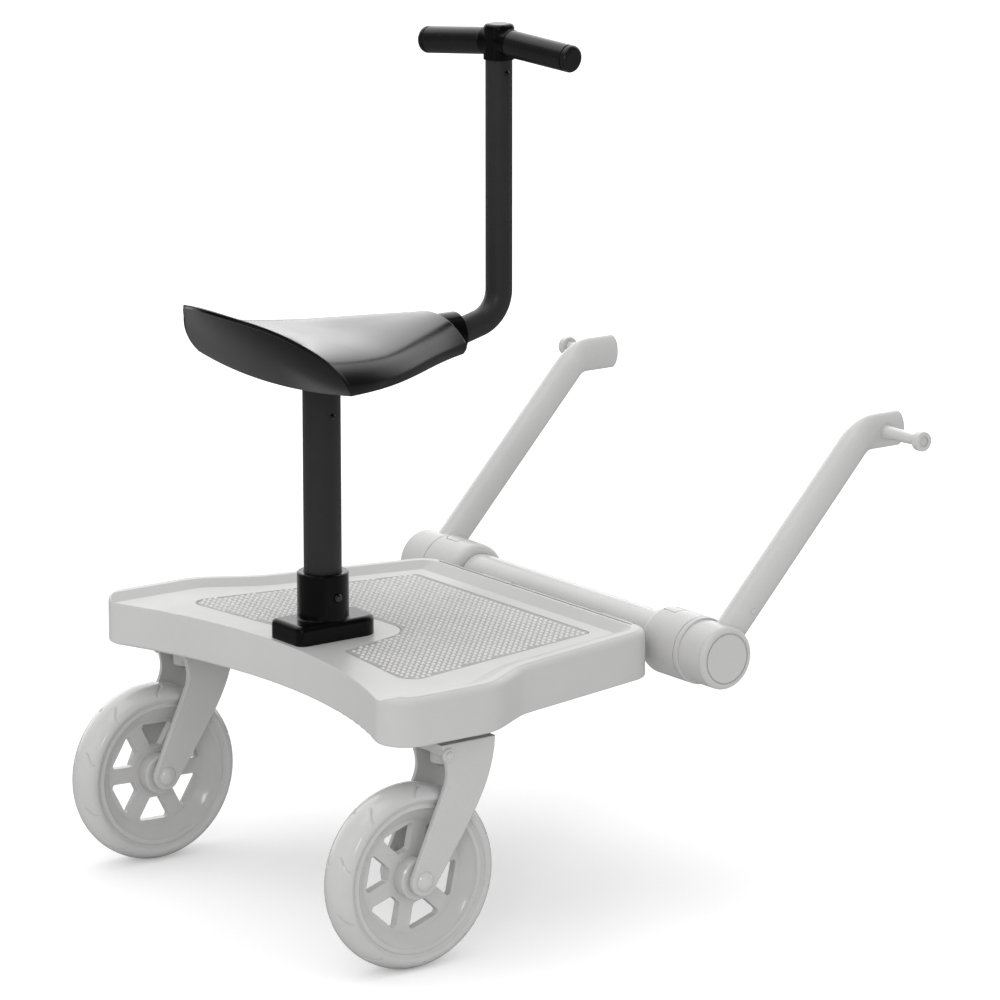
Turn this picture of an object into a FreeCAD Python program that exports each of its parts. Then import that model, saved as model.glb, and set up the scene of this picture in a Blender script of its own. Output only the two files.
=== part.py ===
import FreeCAD, Part
import math
import os

V = FreeCAD.Vector

# Buggy board with a ride-on saddle, in millimetres: +X to the rider's right, +Y forward, +Z up.
# Lengths along Y are first counted from the saddle post's axis, then moved to the middle of the part.

# Clearances
running_gap = 0.05
seat_gap = 0.1
face_gap = 0.2
moving_gap = 0.6

# Wheels
wheel_radius = 85.0
tyre_width = 38.0
tyre_depth = 16.0
tyre_shoulder = 11.0
rim_width = 31.0
rim_wall = 4.0
rim_lip = 4.5
dish_radius = 52.0
window_reach = 47.0
window_corner = 3.0
spoke_count = 6
spoke_width = 15.0
spoke_depth = 8.0
spoke_turn_right = 168.0
spoke_turn_left = 88.0
hub_radius = 19.0
hub_length = 38.0
bush_wall = 3.0
bush_flange_radius = 11.0
bush_flange = 1.5
axle_radius = 5.0
axle_head_radius = 9.0
axle_head_height = 5.0

# Caster forks
track_half = 209.0
caster_trail = 42.5
swivel_behind_post = 11.0
cheek_gap = 1.8
cheek_thickness = 5.0
cheek_round = 1.6
fork_rise = 122.0
fork_bridge = 11.0
fork_front = 35.0
fork_rear = 24.0
fork_lobe = 13.5
fork_knee = 8.7
fork_knee_drop = 29.6
fork_knee_round = 30.0
fork_belly = 9.0
fork_boss_radius = 15.0
fork_boss_drop = 12.0
stem_radius = 7.0
swivel_bush_wall = 4.0
swivel_flange_radius = 19.0
swivel_flange = 3.0
stem_ring_radius = 10.0
stem_ring_height = 3.0

# Board
board_gap = 6.0
board_height = 45.0
board_wall = 3.5
deck_thickness = 4.0
rear_overhang = 36.5
rear_half_width = track_half + rear_overhang
waist_half_width = 213.0
front_half_width = 175.0
rear_middle = -48.0
rear_arc_radius = 558.0
shoulder_start = 17.0
shoulder_end = 71.0
board_front = 249.0
rear_corner = 28.0
front_corner = 30.0
shoulder_round = 60.0
top_round = 7.0
bottom_round = 2.0
rim_band = 13.0
rim_slope = 16.0
deck_drop = 5.0
groove_width = 3.0
groove_depth = 2.5
groove_gap = 0.5
groove_half_length = 152.0
rib_thickness = 3.0
rib_height = 26.0
rib_pitch_x = 72.0
rib_pitch_y = 66.0
caster_boss_wall = 8.0

# Grip mat
mat_thickness = 2.2
mat_sink = 1.2
mat_front_half = 138.0
mat_front = 204.0
mat_rear_half = 181.0
mat_rear = -33.0
mat_mouth_half = 58.0
mat_mouth = -17.0
mat_neck_half = 35.0
mat_neck_end = 73.0
mat_corner = 7.0
mat_rear_corner = 16.0

# Saddle foot, post and snap button
foot_half_width = 26.0
foot_rear = 43.0
foot_front = 47.0
foot_height = 18.0
foot_rear_corner = 8.0
foot_front_corner = 18.0
foot_round = 5.0
foot_collar_radius = 23.8
foot_collar_height = 43.0
foot_floor = 5.0
post_radius = 17.5
post_wall = 1.5
post_length = 228.0
screw_radius = 2.4
screw_head_radius = 4.8
screw_head_height = 3.0
screw_depth = 11.0
foot_screw_half_x = 17.0
button_radius = 4.0
button_height = 22.0
button_proud = 2.5
button_travel = 4.0
button_flange_radius = 6.0
button_flange = 2.0

# Saddle
saddle_above_post = 19.0
saddle_depth = 36.0
saddle_wall = 4.0
saddle_half_width = 124.0
saddle_nose_half = 33.0
saddle_nose = 143.0
nose_rake = 20.0
nose_tip_round = 7.0
edge_tuck = 4.5
edge_tuck_height = 12.0
saddle_back = 128.0
lip_height = 68.0
lip_bulge_low = 13.0
lip_bulge_high = 60.0
lip_rear_low = 65.0
lip_lean = (saddle_back - lip_rear_low) / lip_height
neck_radius = 16.6
spigot_length = 46.0
rivet_radius = 3.0
rivet_height = 1.2
post_rivet_drop = 25.0
saddle_rib = 3.0
saddle_rib_count = 6
saddle_rib_length = 95.0

# Handle
handle_ahead = 57.0
handle_reach = saddle_nose + handle_ahead
handle_radius = 12.5
handle_wall = 1.5
handle_bend = 27.0
handle_rise = 12.5
handle_top = 263.0
handle_tail = 62.0
collar_wall = 8.0
collar_length = 57.0
collar_front_back = 49.0
head_width = 26.0
head_length = 26.0
head_height = 33.0
head_corner = 10.0
head_top_round = 4.0
head_plug = 30.0
head_stub_radius = 13.0
head_stub_reach = 16.0
bar_turn = 11.0
bar_droop = 5.0
grip_radius = 12.6
grip_end = 93.0
grip_end_round = 4.0
grip_ring_inset = 6.0
grip_ring_width = 1.6
grip_ring_depth = 0.8
peg_radius = 8.0
peg_length = 70.0
bar_above_head_foot = 17.0
handle_rivet_drop = 12.0

# Cross tube, sliding collars and arm joints
tube_radius = 23.0
tube_wall = 2.0
joint_clear = 7.5
joint_height = 22.0
collar_radius = 31.5
barrel_radius = 29.5
flange_length = 5.4
seam_inside_track = 17.0
collar_length_x = 52.0
collar_seam = track_half - seam_inside_track
collar_inner_end = collar_seam - collar_length_x
left_slide_out = 12.0
collar_shoulder = 12.0
spigot_wall = 3.0
spigot_reach = 32.5
seam_gap = 0.6
ring_thickness = 2.0
ring_lip = 1.4
cap_thickness = 5.0
cap_room = 1.5
cap_round = 4.5
cap_ring_radius = 24.0
cap_ring_width = 1.2
cap_ring_depth = 0.8
slide_travel = 40.0
cradle_clear = 22.0
cradle_width = 46.0
cradle_offset = collar_inner_end - cradle_clear - cradle_width / 2
cradle_height = 40.0
cradle_screw_pitch = 26.0
tongue_offset = -12.0
tongue_length = 20.0
tongue_width = 13.0
tongue_thickness = 3.0
tongue_slot = 0.7
tongue_well = 3.6
tongue_bead = 1.7

# Arms and coupling pins
arm_angle = 47.0
arm_radius = 14.0
arm_wall = 1.5
arm_straight = 237.7
arm_bend = 35.0
arm_end = 29.0
arm_flat_start = 2.0
arm_flat_half = 8.75
arm_flat_tall = 16.5
plug_dome = 4.0
plug_depth = 8.0
plug_radius = 6.0
arm_rivet_reach = 52.0
pin_from_end = 20.0
pin_radius = 5.0
pin_root_radius = 6.5
pin_length = 53.25
pin_head_radius = 9.3
pin_head_length = 8.0
pin_head_round = 1.5
pin_dimple_radius = 5.0
pin_dimple_depth = 1.5
pin_flange_radius = 7.5
pin_flange = 1.5

# Heights that follow from the sizes above
axle_z = wheel_radius
fork_top_z = axle_z + fork_rise
board_bottom_z = fork_top_z + board_gap
board_top_z = board_bottom_z + board_height
deck_z = board_top_z - deck_drop
deck_under_z = deck_z - deck_thickness - mat_sink
foot_top_z = deck_z + foot_height
collar_top_z = foot_top_z + foot_collar_height
post_bottom_z = deck_z + foot_floor
post_top_z = post_bottom_z + post_length
saddle_bottom_z = post_top_z + saddle_above_post
saddle_top_z = saddle_bottom_z + saddle_depth
tube_low_z = saddle_bottom_z + handle_rise
joint_z = board_bottom_z + joint_height
head_bottom_z = saddle_bottom_z + handle_top

# Places along Y that follow from the sizes above
swivel_y = -swivel_behind_post
axle_y = swivel_y - caster_trail
joint_y = board_front + joint_clear + collar_radius
lean_angle = math.radians(arm_angle)
bend_y = joint_y + arm_straight * math.cos(lean_angle)
bend_z = joint_z + arm_straight * math.sin(lean_angle)
flat_y = bend_y + arm_bend * math.sin(lean_angle)
arm_z = bend_z + arm_bend * (1 - math.cos(lean_angle))
arm_tip_y = flat_y + arm_end
pin_y = arm_tip_y - pin_from_end
rear_y = axle_y - wheel_radius
front_y = arm_tip_y + plug_dome
middle_y = (rear_y + front_y) / 2

cheek_inner = tyre_width / 2 + cheek_gap
cheek_outer = cheek_inner + cheek_thickness
rim_radius = wheel_radius - tyre_depth
spigot_radius = tube_radius + running_gap + spigot_wall
spigot_end = collar_seam + spigot_reach
cap_x = spigot_end + ring_thickness + cap_room
flange_end = collar_seam + seam_gap + flange_length
arm_x = (flange_end + cap_x) / 2
pin_base_x = arm_x + arm_flat_half
pin_reach = pin_base_x + pin_length


def cylinder(radius, start, end):
    start, end = V(*start), V(*end)
    return Part.makeCylinder(radius, (end - start).Length, start, end - start)


def pipe_between(outer, inner, start, end):
    return cylinder(outer, start, end).cut(cylinder(inner, start, end))


def box(low, high):
    low, high = V(*low), V(*high)
    size = high - low
    return Part.makeBox(size.x, size.y, size.z, low)


def rounded_wire(corners, z):
    """Closed outline through (x, y, radius) corners, each corner rounded by its radius."""
    count = len(corners)
    arcs = []
    for i, (x, y, radius) in enumerate(corners):
        here = V(x, y, z)
        before = V(corners[i - 1][0], corners[i - 1][1], z) - here
        after = V(corners[(i + 1) % count][0], corners[(i + 1) % count][1], z) - here
        before.normalize()
        after.normalize()
        half = before.getAngle(after) / 2
        reach = radius / math.tan(half)
        middle = before + after
        middle.normalize()
        centre = here + middle * (radius / math.sin(half))
        arcs.append((here + before * reach, centre - middle * radius, here + after * reach))
    edges = []
    for i, (first, mid, last) in enumerate(arcs):
        if corners[i][2] > 0:
            edges.append(Part.Arc(first, mid, last).toShape())
        following = arcs[(i + 1) % count][0]
        if last.distanceToPoint(following) > 1e-6:
            edges.append(Part.LineSegment(last, following).toShape())
    return Part.Wire(edges)


def slab(wire, height):
    return Part.Face(wire).extrude(V(0, 0, height))


def revolve_x(profile, x, y, z):
    """Turn an (along x, radius) profile about the X axis through (x, y, z)."""
    points = [V(x + a, y, z + r) for a, r in profile]
    face = Part.Face(Part.makePolygon(points + points[:1]))
    return face.revolve(V(x, y, z), V(1, 0, 0), 360)


def top_edges(solid, z):
    return [e for e in solid.Edges if abs(e.BoundBox.ZMin - z) < 1e-4 and abs(e.BoundBox.ZMax - z) < 1e-4]


def other_side(shape):
    return shape.mirror(V(0, 0, 0), V(1, 0, 0))


def dome_x(place, radius, height, way):
    """Shallow dome on a base circle at a place, bulging towards +X or -X."""
    x, y, z = place
    bend = (radius ** 2 + height ** 2) / (2 * height)
    half = math.asin(min(1.0, radius / bend)) / 2
    base, tip = V(x, y, z + radius), V(x + way * height, y, z)
    mid = V(x + way * (height - bend + bend * math.cos(half)), y, z + bend * math.sin(half))
    edges = [Part.LineSegment(V(*place), base).toShape(), Part.Arc(base, mid, tip).toShape(),
             Part.LineSegment(tip, V(*place)).toShape()]
    return Part.Face(Part.Wire(edges)).revolve(V(*place), V(1, 0, 0), 360)


def dome_rivet(place, shank):
    """Domed rivet head at a place, facing +X, with a shank behind it."""
    x, y, z = place
    head = dome_x(place, rivet_radius, rivet_height, 1)
    return head.fuse(cylinder(rivet_radius * 0.6, (x - shank, y, z), (x, y, z)))


# Board shell: one moulding with a raised rim, a lower deck and a ribbed, open underside
def board_blank():
    lift = rear_arc_radius - math.sqrt(rear_arc_radius ** 2 - rear_half_width ** 2)
    tail = rear_middle - lift
    right = [(rear_half_width, shoulder_start, shoulder_round),
             (waist_half_width, shoulder_end, shoulder_round),
             (front_half_width, board_front, front_corner)]
    left = [(-x, y, r) for x, y, r in reversed(right)]
    corners = [(rear_half_width, tail - rear_corner, 0)] + right + left + [(-rear_half_width, tail - rear_corner, 0)]
    blank = slab(rounded_wire(corners, board_bottom_z), board_height)
    arc_y = rear_middle - rear_arc_radius
    blank = blank.cut(cylinder(rear_arc_radius, (0, arc_y, board_bottom_z - 1), (0, arc_y, board_top_z + 1)))
    uprights = [e for e in blank.Edges if e.BoundBox.ZLength > board_height / 2 and e.BoundBox.YMax < tail + 1]
    return blank.makeFillet(rear_corner, uprights)


def board_shell():
    blank = board_blank()
    outline = [f for f in blank.Faces if f.BoundBox.ZMin > board_top_z - 1e-4][0].OuterWire
    body = blank.makeFillet(top_round, top_edges(blank, board_top_z))
    body = body.makeFillet(bottom_round, top_edges(body, board_bottom_z))

    def inset(distance, z):
        wire = outline.makeOffset2D(-distance)
        wire.translate(V(0, 0, z - board_top_z))
        return wire

    def deck_cut():
        """Room above the deck, with a sloping rim wall and left open at the rear."""
        slope = (deck_drop + 1) * rim_slope / deck_drop
        room = Part.makeLoft([inset(rim_band + rim_slope, deck_z),
                              inset(rim_band + rim_slope - slope, board_top_z + 1)], True, True)
        back = room.copy()
        back.translate(V(0, -4 * rim_band, 0))
        return room.fuse(back)

    body = body.cut(deck_cut())
    groove_y = board_front - top_round - groove_gap
    groove_end = groove_width * 0.48
    groove = [(groove_half_length, groove_y - groove_width, groove_end), (groove_half_length, groove_y, groove_end),
              (-groove_half_length, groove_y, groove_end), (-groove_half_length, groove_y - groove_width, groove_end)]
    body = body.cut(slab(rounded_wire(groove, board_top_z - groove_depth), groove_depth + 1))
    body = body.cut(slab(mat_wire(deck_z - mat_sink, seat_gap), mat_sink + 1))
    hollow = slab(inset(board_wall, board_bottom_z - 1), deck_under_z - board_bottom_z + 1)
    body = body.cut(hollow)
    ribs = []
    rib_low = deck_under_z - rib_height
    for i in (-2, -1, 0, 1, 2):
        x = i * rib_pitch_x
        ribs.append(box((x - rib_thickness / 2, rear_middle, rib_low),
                        (x + rib_thickness / 2, board_front, deck_under_z + 1)))
    for i in (0, 1, 2, 3):
        y = rear_middle + board_wall + rib_pitch_y * (i + 0.9)
        ribs.append(box((-rear_half_width, y - rib_thickness / 2, rib_low),
                        (rear_half_width, y + rib_thickness / 2, deck_under_z + 1)))
    frame = ribs[0].multiFuse(ribs[1:]).common(hollow)
    body = body.fuse(frame)
    boss_low = fork_top_z + face_gap + swivel_flange
    boss_radius = stem_radius + running_gap + swivel_bush_wall + caster_boss_wall
    for side in (-1, 1):
        x = side * track_half
        boss = cylinder(boss_radius, (x, swivel_y, boss_low), (x, swivel_y, deck_under_z + 1))
        body = body.fuse(boss)
    for side in (-1, 1):
        x = side * track_half
        bore = cylinder(stem_radius + running_gap + swivel_bush_wall + seat_gap,
                        (x, swivel_y, boss_low - 1), (x, swivel_y, deck_under_z))
        body = body.cut(bore)
    for x, y in foot_screw_places():
        body = body.cut(cylinder(screw_radius + seat_gap, (x, y, board_bottom_z), (x, y, board_top_z)))
    inside = board_front - board_wall
    for x, z in cradle_screw_places():
        body = body.cut(cylinder(screw_radius + seat_gap, (x, board_front - 20, z), (x, board_front + 1, z)))
        body = body.cut(cylinder(screw_head_radius + seat_gap, (x, inside - screw_head_height - seat_gap, z),
                                 (x, inside, z)))
    return body.removeSplitter()


def mat_wire(z, grow):
    right = [(mat_mouth_half - grow, mat_mouth - grow, mat_corner),
             (mat_rear_half + grow, mat_rear - grow, mat_rear_corner),
             (mat_front_half + grow, mat_front + grow, mat_corner)]
    left = [(-x, y, r) for x, y, r in reversed(right)]
    neck = mat_neck_half - grow
    tip = [(-neck, mat_neck_end - grow, neck * 0.96), (neck, mat_neck_end - grow, neck * 0.96)]
    return rounded_wire(right + left + tip, z)


def grip_mat():
    return slab(mat_wire(deck_z - mat_sink, 0), mat_thickness)


# Saddle foot, post and the snap button that locks the post in the foot
def foot_screw_places():
    inset = 10.0
    return [(sx * foot_screw_half_x, y, ) for sx in (-1, 1) for y in (-foot_rear + inset, foot_front - inset)]


def saddle_foot():
    corners = [(foot_half_width, -foot_rear, foot_rear_corner), (foot_half_width, foot_front, foot_front_corner),
               (-foot_half_width, foot_front, foot_front_corner), (-foot_half_width, -foot_rear, foot_rear_corner)]
    block = slab(rounded_wire(corners, deck_z), foot_height)
    block = block.makeFillet(foot_round, top_edges(block, foot_top_z))
    collar = cylinder(foot_collar_radius, (0, 0, deck_z + foot_floor), (0, 0, collar_top_z))
    collar = collar.makeChamfer(1.0, top_edges(collar, collar_top_z))
    body = block.fuse(collar).removeSplitter()
    foot_ring = [e for e in top_edges(body, foot_top_z) if isinstance(e.Curve, Part.Circle)
                 and abs(e.Curve.Radius - foot_collar_radius) < 1e-3]
    body = body.makeFillet(2.0, foot_ring)
    body = body.cut(cylinder(post_radius + seat_gap, (0, 0, post_bottom_z), (0, 0, collar_top_z + 1)))
    body = body.cut(button_hole())
    for x, y in foot_screw_places():
        body = body.cut(cylinder(screw_radius + seat_gap, (x, y, deck_z - 1), (x, y, deck_z + screw_depth)))
    return body


def foot_screws():
    screws = []
    for x, y in foot_screw_places():
        head = cylinder(screw_head_radius, (x, y, deck_under_z - screw_head_height), (x, y, deck_under_z))
        screws.append(head.fuse(cylinder(screw_radius, (x, y, deck_under_z), (x, y, deck_z + screw_depth - 1))))
    return Part.Compound(screws)


def button_z():
    return foot_top_z + button_height


def button_hole():
    return cylinder(button_radius + running_gap, (0, 0, button_z()), (foot_collar_radius + 1, 0, button_z()))


def snap_button():
    tip = foot_collar_radius + button_proud
    inner = post_radius - post_wall
    flange_out = math.sqrt(inner ** 2 - button_flange_radius ** 2) - face_gap
    pin = cylinder(button_radius, (flange_out, 0, button_z()), (tip, 0, button_z()))
    rim = [e for e in pin.Edges if e.BoundBox.XMin > tip - 1e-4]
    pin = pin.makeFillet(button_radius * 0.55, rim)
    flange = cylinder(button_flange_radius, (flange_out - button_flange, 0, button_z()), (flange_out, 0, button_z()))
    return pin.fuse(flange)


def saddle_post():
    post = pipe_between(post_radius, post_radius - post_wall, (0, 0, post_bottom_z), (0, 0, post_top_z))
    post = post.cut(button_hole())
    return post.cut(rivet_hole(post_radius, (0, 0, post_top_z - post_rivet_drop)))


def rivet_hole(depth, place):
    x, y, z = place
    return cylinder(rivet_radius * 0.6 + running_gap, (x, y, z), (x + depth + 1, y, z))


# Saddle: a moulded shell, lofted along Y, cut to a leaning rear wall and an open, raked nose
def saddle_sections():
    """(y, half width, top above the lower edge, roundness across, roundness down) from lip to nose."""
    shape = [(-1.211, 1.079, 1.228 * lip_height, 0.30, 0.55), (-1.0234, 1.079, 1.022 * lip_height, 0.34, 0.55),
             (-0.8672, 1.074, 0.901 * lip_height, 0.38, 0.58), (-0.711, 1.068, 0.769 * lip_height, 0.42, 0.62),
             (-0.5703, 1.058, 1.236 * saddle_depth, 0.48, 0.75), (-0.4922, 1.044, 1.158 * saddle_depth, 0.50, 0.80),
             (-0.1562, 0.97, saddle_depth, 0.56, 0.80)]
    rear = [(y * saddle_back, half * saddle_half_width, top, across, down) for y, half, top, across, down in shape]
    return rear + [(saddle_nose * 0.105, saddle_half_width * 0.8548, saddle_depth * 0.944, 0.58, 0.75),
                   (saddle_nose * 0.35, saddle_half_width * 0.6935, saddle_depth * 0.972, 0.66, 0.80),
                   (saddle_nose * 0.615, saddle_nose_half * 1.879, saddle_depth, 0.80, 0.95),
                   (saddle_nose * 0.853, saddle_nose_half * 1.303, saddle_depth, 0.90, 0.95),
                   (saddle_nose * 1.056, saddle_nose_half * 0.909, saddle_depth, 0.95, 0.95)]


def saddle_loft(inset, drop):
    wires = []
    steps = 10
    for y, half, top, across, down in saddle_sections():
        points = []
        for i in range(-steps, steps + 1):
            angle = math.radians(90.0 * i / steps)
            side = math.copysign(abs(math.sin(angle)) ** across, angle) if i else 0.0
            height = 0.0 if abs(i) == steps else (top - inset + drop) * abs(math.cos(angle)) ** down
            tuck = edge_tuck * max(0.0, 1 - height / edge_tuck_height) ** 2
            points.append(V((half - inset - tuck) * side, y, saddle_bottom_z - drop + height))
        arch = Part.BSplineCurve()
        arch.interpolate(points)
        wires.append(Part.Wire([arch.toShape(), Part.LineSegment(points[-1], points[0]).toShape()]))
    return Part.makeLoft(wires, True, False)


def behind_saddle(forward):
    """All that lies behind the leaning rear wall, as a ruled solid between two bowed outlines."""
    wires = []
    for share in (-0.44, 0.0, 0.25, 0.5, 0.75, 1.0, 1.3, 1.6):
        height = share * lip_height
        middle = -lip_rear_low - lip_lean * height + forward
        sag = lip_bulge_low + (lip_bulge_high - lip_bulge_low) * max(0.0, share) ** 1.8
        z = saddle_bottom_z + height
        reach = saddle_half_width * 1.32
        ends = middle + sag * (reach / saddle_half_width) ** 2
        arc = Part.Arc(V(-reach, ends, z), V(0, middle, z), V(reach, ends, z)).toShape()
        far = middle - 2 * saddle_half_width
        lines = Part.makePolygon([V(reach, ends, z), V(reach, far, z), V(-reach, far, z), V(-reach, ends, z)])
        wires.append(Part.Wire([arc] + lines.Edges))
    return Part.makeLoft(wires, True, False)


def ahead_of_nose():
    low = saddle_bottom_z - saddle_depth / 2
    points = [V(0, saddle_nose - nose_tip_round, low), V(0, saddle_nose - nose_tip_round, saddle_bottom_z)]
    for share in (0.25, 0.5, 0.75, 1.0):
        height = share * 1.3 * nose_tip_round
        back = nose_rake * height / saddle_depth + nose_tip_round * (1 - share) ** 2
        points.append(V(0, saddle_nose - back, saddle_bottom_z + height))
    points += [V(0, saddle_nose - nose_rake * 2, saddle_bottom_z + 2 * saddle_depth),
               V(0, 2 * saddle_nose, saddle_bottom_z + 2 * saddle_depth), V(0, 2 * saddle_nose, low)]
    face = Part.Face(Part.makePolygon(points + points[:1]))
    return face.extrude(V(4 * saddle_nose_half, 0, 0)).translate(V(-2 * saddle_nose_half, 0, 0))


def saddle_outer():
    return saddle_loft(0, 0).cut(behind_saddle(0)).cut(ahead_of_nose())


def saddle_room():
    """The hollow under the saddle's skin, open downwards and at the nose."""
    return saddle_loft(saddle_wall, 5).cut(behind_saddle(saddle_wall * 1.4))


def collar_bore():
    """Room for the handle's collar and the end of its tube, along the tube's lower run."""
    tail = handle_collar_tail()
    wide = cylinder(handle_radius + collar_wall + seat_gap, (0, tail, tube_low_z), (0, handle_reach, tube_low_z))
    narrow = cylinder(handle_radius + seat_gap, (0, tail - 2 * saddle_wall, tube_low_z), (0, tail + 1, tube_low_z))
    return wide.fuse(narrow)


def saddle_shell():
    return saddle_outer().cut(saddle_room()).cut(collar_bore())


def saddle_hub():
    """Neck, spigot, radial ribs and handle socket that fill the middle of the saddle's hollow."""
    high = saddle_bottom_z + lip_height
    pieces = [cylinder(neck_radius, (0, 0, saddle_bottom_z), (0, 0, high))]
    for i in range(saddle_rib_count):
        rib = box((0, -saddle_rib / 2, saddle_bottom_z + 6), (saddle_rib_length, saddle_rib / 2, high))
        rib.rotate(V(0, 0, 0), V(0, 0, 1), 360.0 * (i + 0.5) / saddle_rib_count)
        pieces.append(rib)
    tail = handle_collar_tail()
    socket = handle_radius + collar_wall + seat_gap + saddle_wall
    pieces.append(cylinder(socket, (0, tail - saddle_wall, tube_low_z), (0, saddle_nose, tube_low_z)))
    inside = pieces[0].multiFuse(pieces[1:]).common(saddle_room())
    inside = inside.cut(ahead_of_nose()).cut(below_saddle())
    neck = cylinder(neck_radius, (0, 0, post_top_z), (0, 0, saddle_bottom_z + 1))
    spigot = cylinder(post_radius - post_wall - seat_gap, (0, 0, post_top_z - spigot_length), (0, 0, post_top_z))
    body = inside.multiFuse([neck, spigot]).removeSplitter()
    body = body.cut(rivet_hole(post_radius, (0, 0, post_top_z - post_rivet_drop)))
    return body.cut(collar_bore()).removeSplitter()


def below_saddle():
    reach = 2 * saddle_half_width
    return box((-reach, -reach, post_top_z), (reach, reach, saddle_bottom_z))


def post_rivet():
    z = post_top_z - post_rivet_drop
    return dome_rivet((post_radius, 0, z), post_wall + 6)


# Handle: bent tube in a collar under the nose, with a bar head and two grips
def handle_collar_tail():
    return handle_reach - collar_front_back - collar_length


def handle_collar():
    start = (0, handle_collar_tail(), tube_low_z)
    end = (0, handle_reach - collar_front_back, tube_low_z)
    body = cylinder(handle_radius + collar_wall, start, end)
    rim = [e for e in body.Edges if e.BoundBox.YMin > handle_reach - collar_front_back - 1e-4]
    body = body.makeFillet(1.5, rim)
    return body.cut(cylinder(handle_radius + seat_gap, start, end))


def handle_path(tail, top):
    low, turn = tube_low_z, handle_bend
    start = V(0, tail, low)
    first = V(0, handle_reach - turn, low)
    last = V(0, handle_reach, low + turn)
    sweep = math.radians(45)
    mid = V(0, handle_reach - turn + turn * math.sin(sweep), low + turn - turn * math.cos(sweep))
    edges = [Part.LineSegment(start, first).toShape(), Part.Arc(first, mid, last).toShape(),
             Part.LineSegment(last, V(0, handle_reach, top)).toShape()]
    return Part.Wire(edges)


def swept(path, radius, start, way):
    ring = Part.Wire(Part.Circle(V(*start), V(*way), radius).toShape())
    return path.makePipeShell([ring], True, True)


def handle_tube():
    tail = handle_reach - handle_bend - handle_tail
    path = handle_path(tail, head_bottom_z)
    start = (0, tail, tube_low_z)
    body = swept(path, handle_radius, start, (0, 1, 0))
    body = body.cut(swept(path, handle_radius - handle_wall, start, (0, 1, 0)))
    return body.cut(rivet_hole(handle_radius, (0, handle_reach, head_bottom_z - handle_rivet_drop)))


def handle_rivet():
    z = head_bottom_z - handle_rivet_drop
    return dome_rivet((handle_radius, handle_reach, z), handle_wall + 5)


def set_bar(shape, side):
    """Droop a part made along X at the bar's middle, then turn it on the handle tube."""
    place = V(0, handle_reach, head_bottom_z + bar_above_head_foot)
    shape.translate(place)
    shape.rotate(place, V(0, 1, 0), side * bar_droop)
    shape.rotate(place, V(0, 0, 1), bar_turn)
    return shape


def bar_head():
    half_x, half_y = head_width / 2, head_length / 2
    corners = [(half_x, -half_y, head_corner), (half_x, half_y, head_corner),
               (-half_x, half_y, head_corner), (-half_x, -half_y, head_corner)]
    block = slab(rounded_wire(corners, 0), head_height)
    block = block.makeFillet(head_top_round, top_edges(block, head_height))
    block.translate(V(0, handle_reach, head_bottom_z))
    block.rotate(V(0, handle_reach, 0), V(0, 0, 1), bar_turn)
    for side in (-1, 1):
        peg = cylinder(peg_radius, (0, 0, 0), (side * peg_length, 0, 0))
        stub = cylinder(head_stub_radius, (0, 0, 0), (side * head_stub_reach, 0, 0))
        block = block.multiFuse([set_bar(peg, side), set_bar(stub, side)])
    plug = cylinder(handle_radius - handle_wall - seat_gap, (0, handle_reach, head_bottom_z - head_plug),
                    (0, handle_reach, head_bottom_z + 1))
    body = block.fuse(plug).removeSplitter()
    return body.cut(rivet_hole(handle_radius, (0, handle_reach, head_bottom_z - handle_rivet_drop)))


def grip(side):
    start = head_stub_reach + face_gap
    ring = grip_end - grip_ring_inset
    profile = [(start, peg_radius + running_gap), (start, grip_radius),
               (ring - grip_ring_width, grip_radius), (ring - grip_ring_width, grip_radius - grip_ring_depth),
               (ring, grip_radius - grip_ring_depth), (ring, grip_radius), (grip_end, grip_radius),
               (grip_end, 0), (peg_length + 1, 0), (peg_length + 1, peg_radius + running_gap)]
    body = revolve_x(profile, 0, 0, 0)
    edges = [e for e in body.Edges if e.BoundBox.XMin > grip_end - 1e-4]
    body = body.makeFillet(grip_end_round, edges)
    if side < 0:
        body = other_side(body)
    return set_bar(body, side)


# Wheels: tyre, spoked rim and two flanged hub bushes on each
def wheel_centre(side):
    return (side * track_half, axle_y, axle_z)


def tyre(side):
    x, y, z = wheel_centre(side)
    half = tyre_width / 2
    seat = rim_radius
    shoulder = wheel_radius - tyre_shoulder
    a, b = V(x - half, y, z + shoulder), V(x + half, y, z + shoulder)
    crown = Part.Arc(a, V(x, y, z + wheel_radius), b)
    low_a, low_b = V(x - rim_width / 2, y, z + seat), V(x + rim_width / 2, y, z + seat)
    wire = Part.Wire([crown.toShape(), Part.LineSegment(b, low_b).toShape(),
                      Part.LineSegment(low_b, low_a).toShape(), Part.LineSegment(low_a, a).toShape()])
    return Part.Face(wire).revolve(V(x, y, z), V(1, 0, 0), 360)


def dish_curve(x, y, z, way):
    """Hollow curve from the rim's lip down to the web, on the side that faces the given way."""
    half, web = rim_width / 2, spoke_depth / 2
    lip = rim_radius - running_gap - rim_lip
    deep, fall = half - web, lip - dish_radius
    shares = [(0.0, 0.0), (0.18, 0.10), (0.42, 0.32), (0.68, 0.62), (0.88, 0.86), (1.0, 1.0)]
    points = [V(x + way * (half - deep * a), y, z + lip - fall * b) for a, b in shares]
    curve = Part.BSplineCurve()
    curve.interpolate(points)
    return curve.toShape(), points[0], points[-1]


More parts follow.
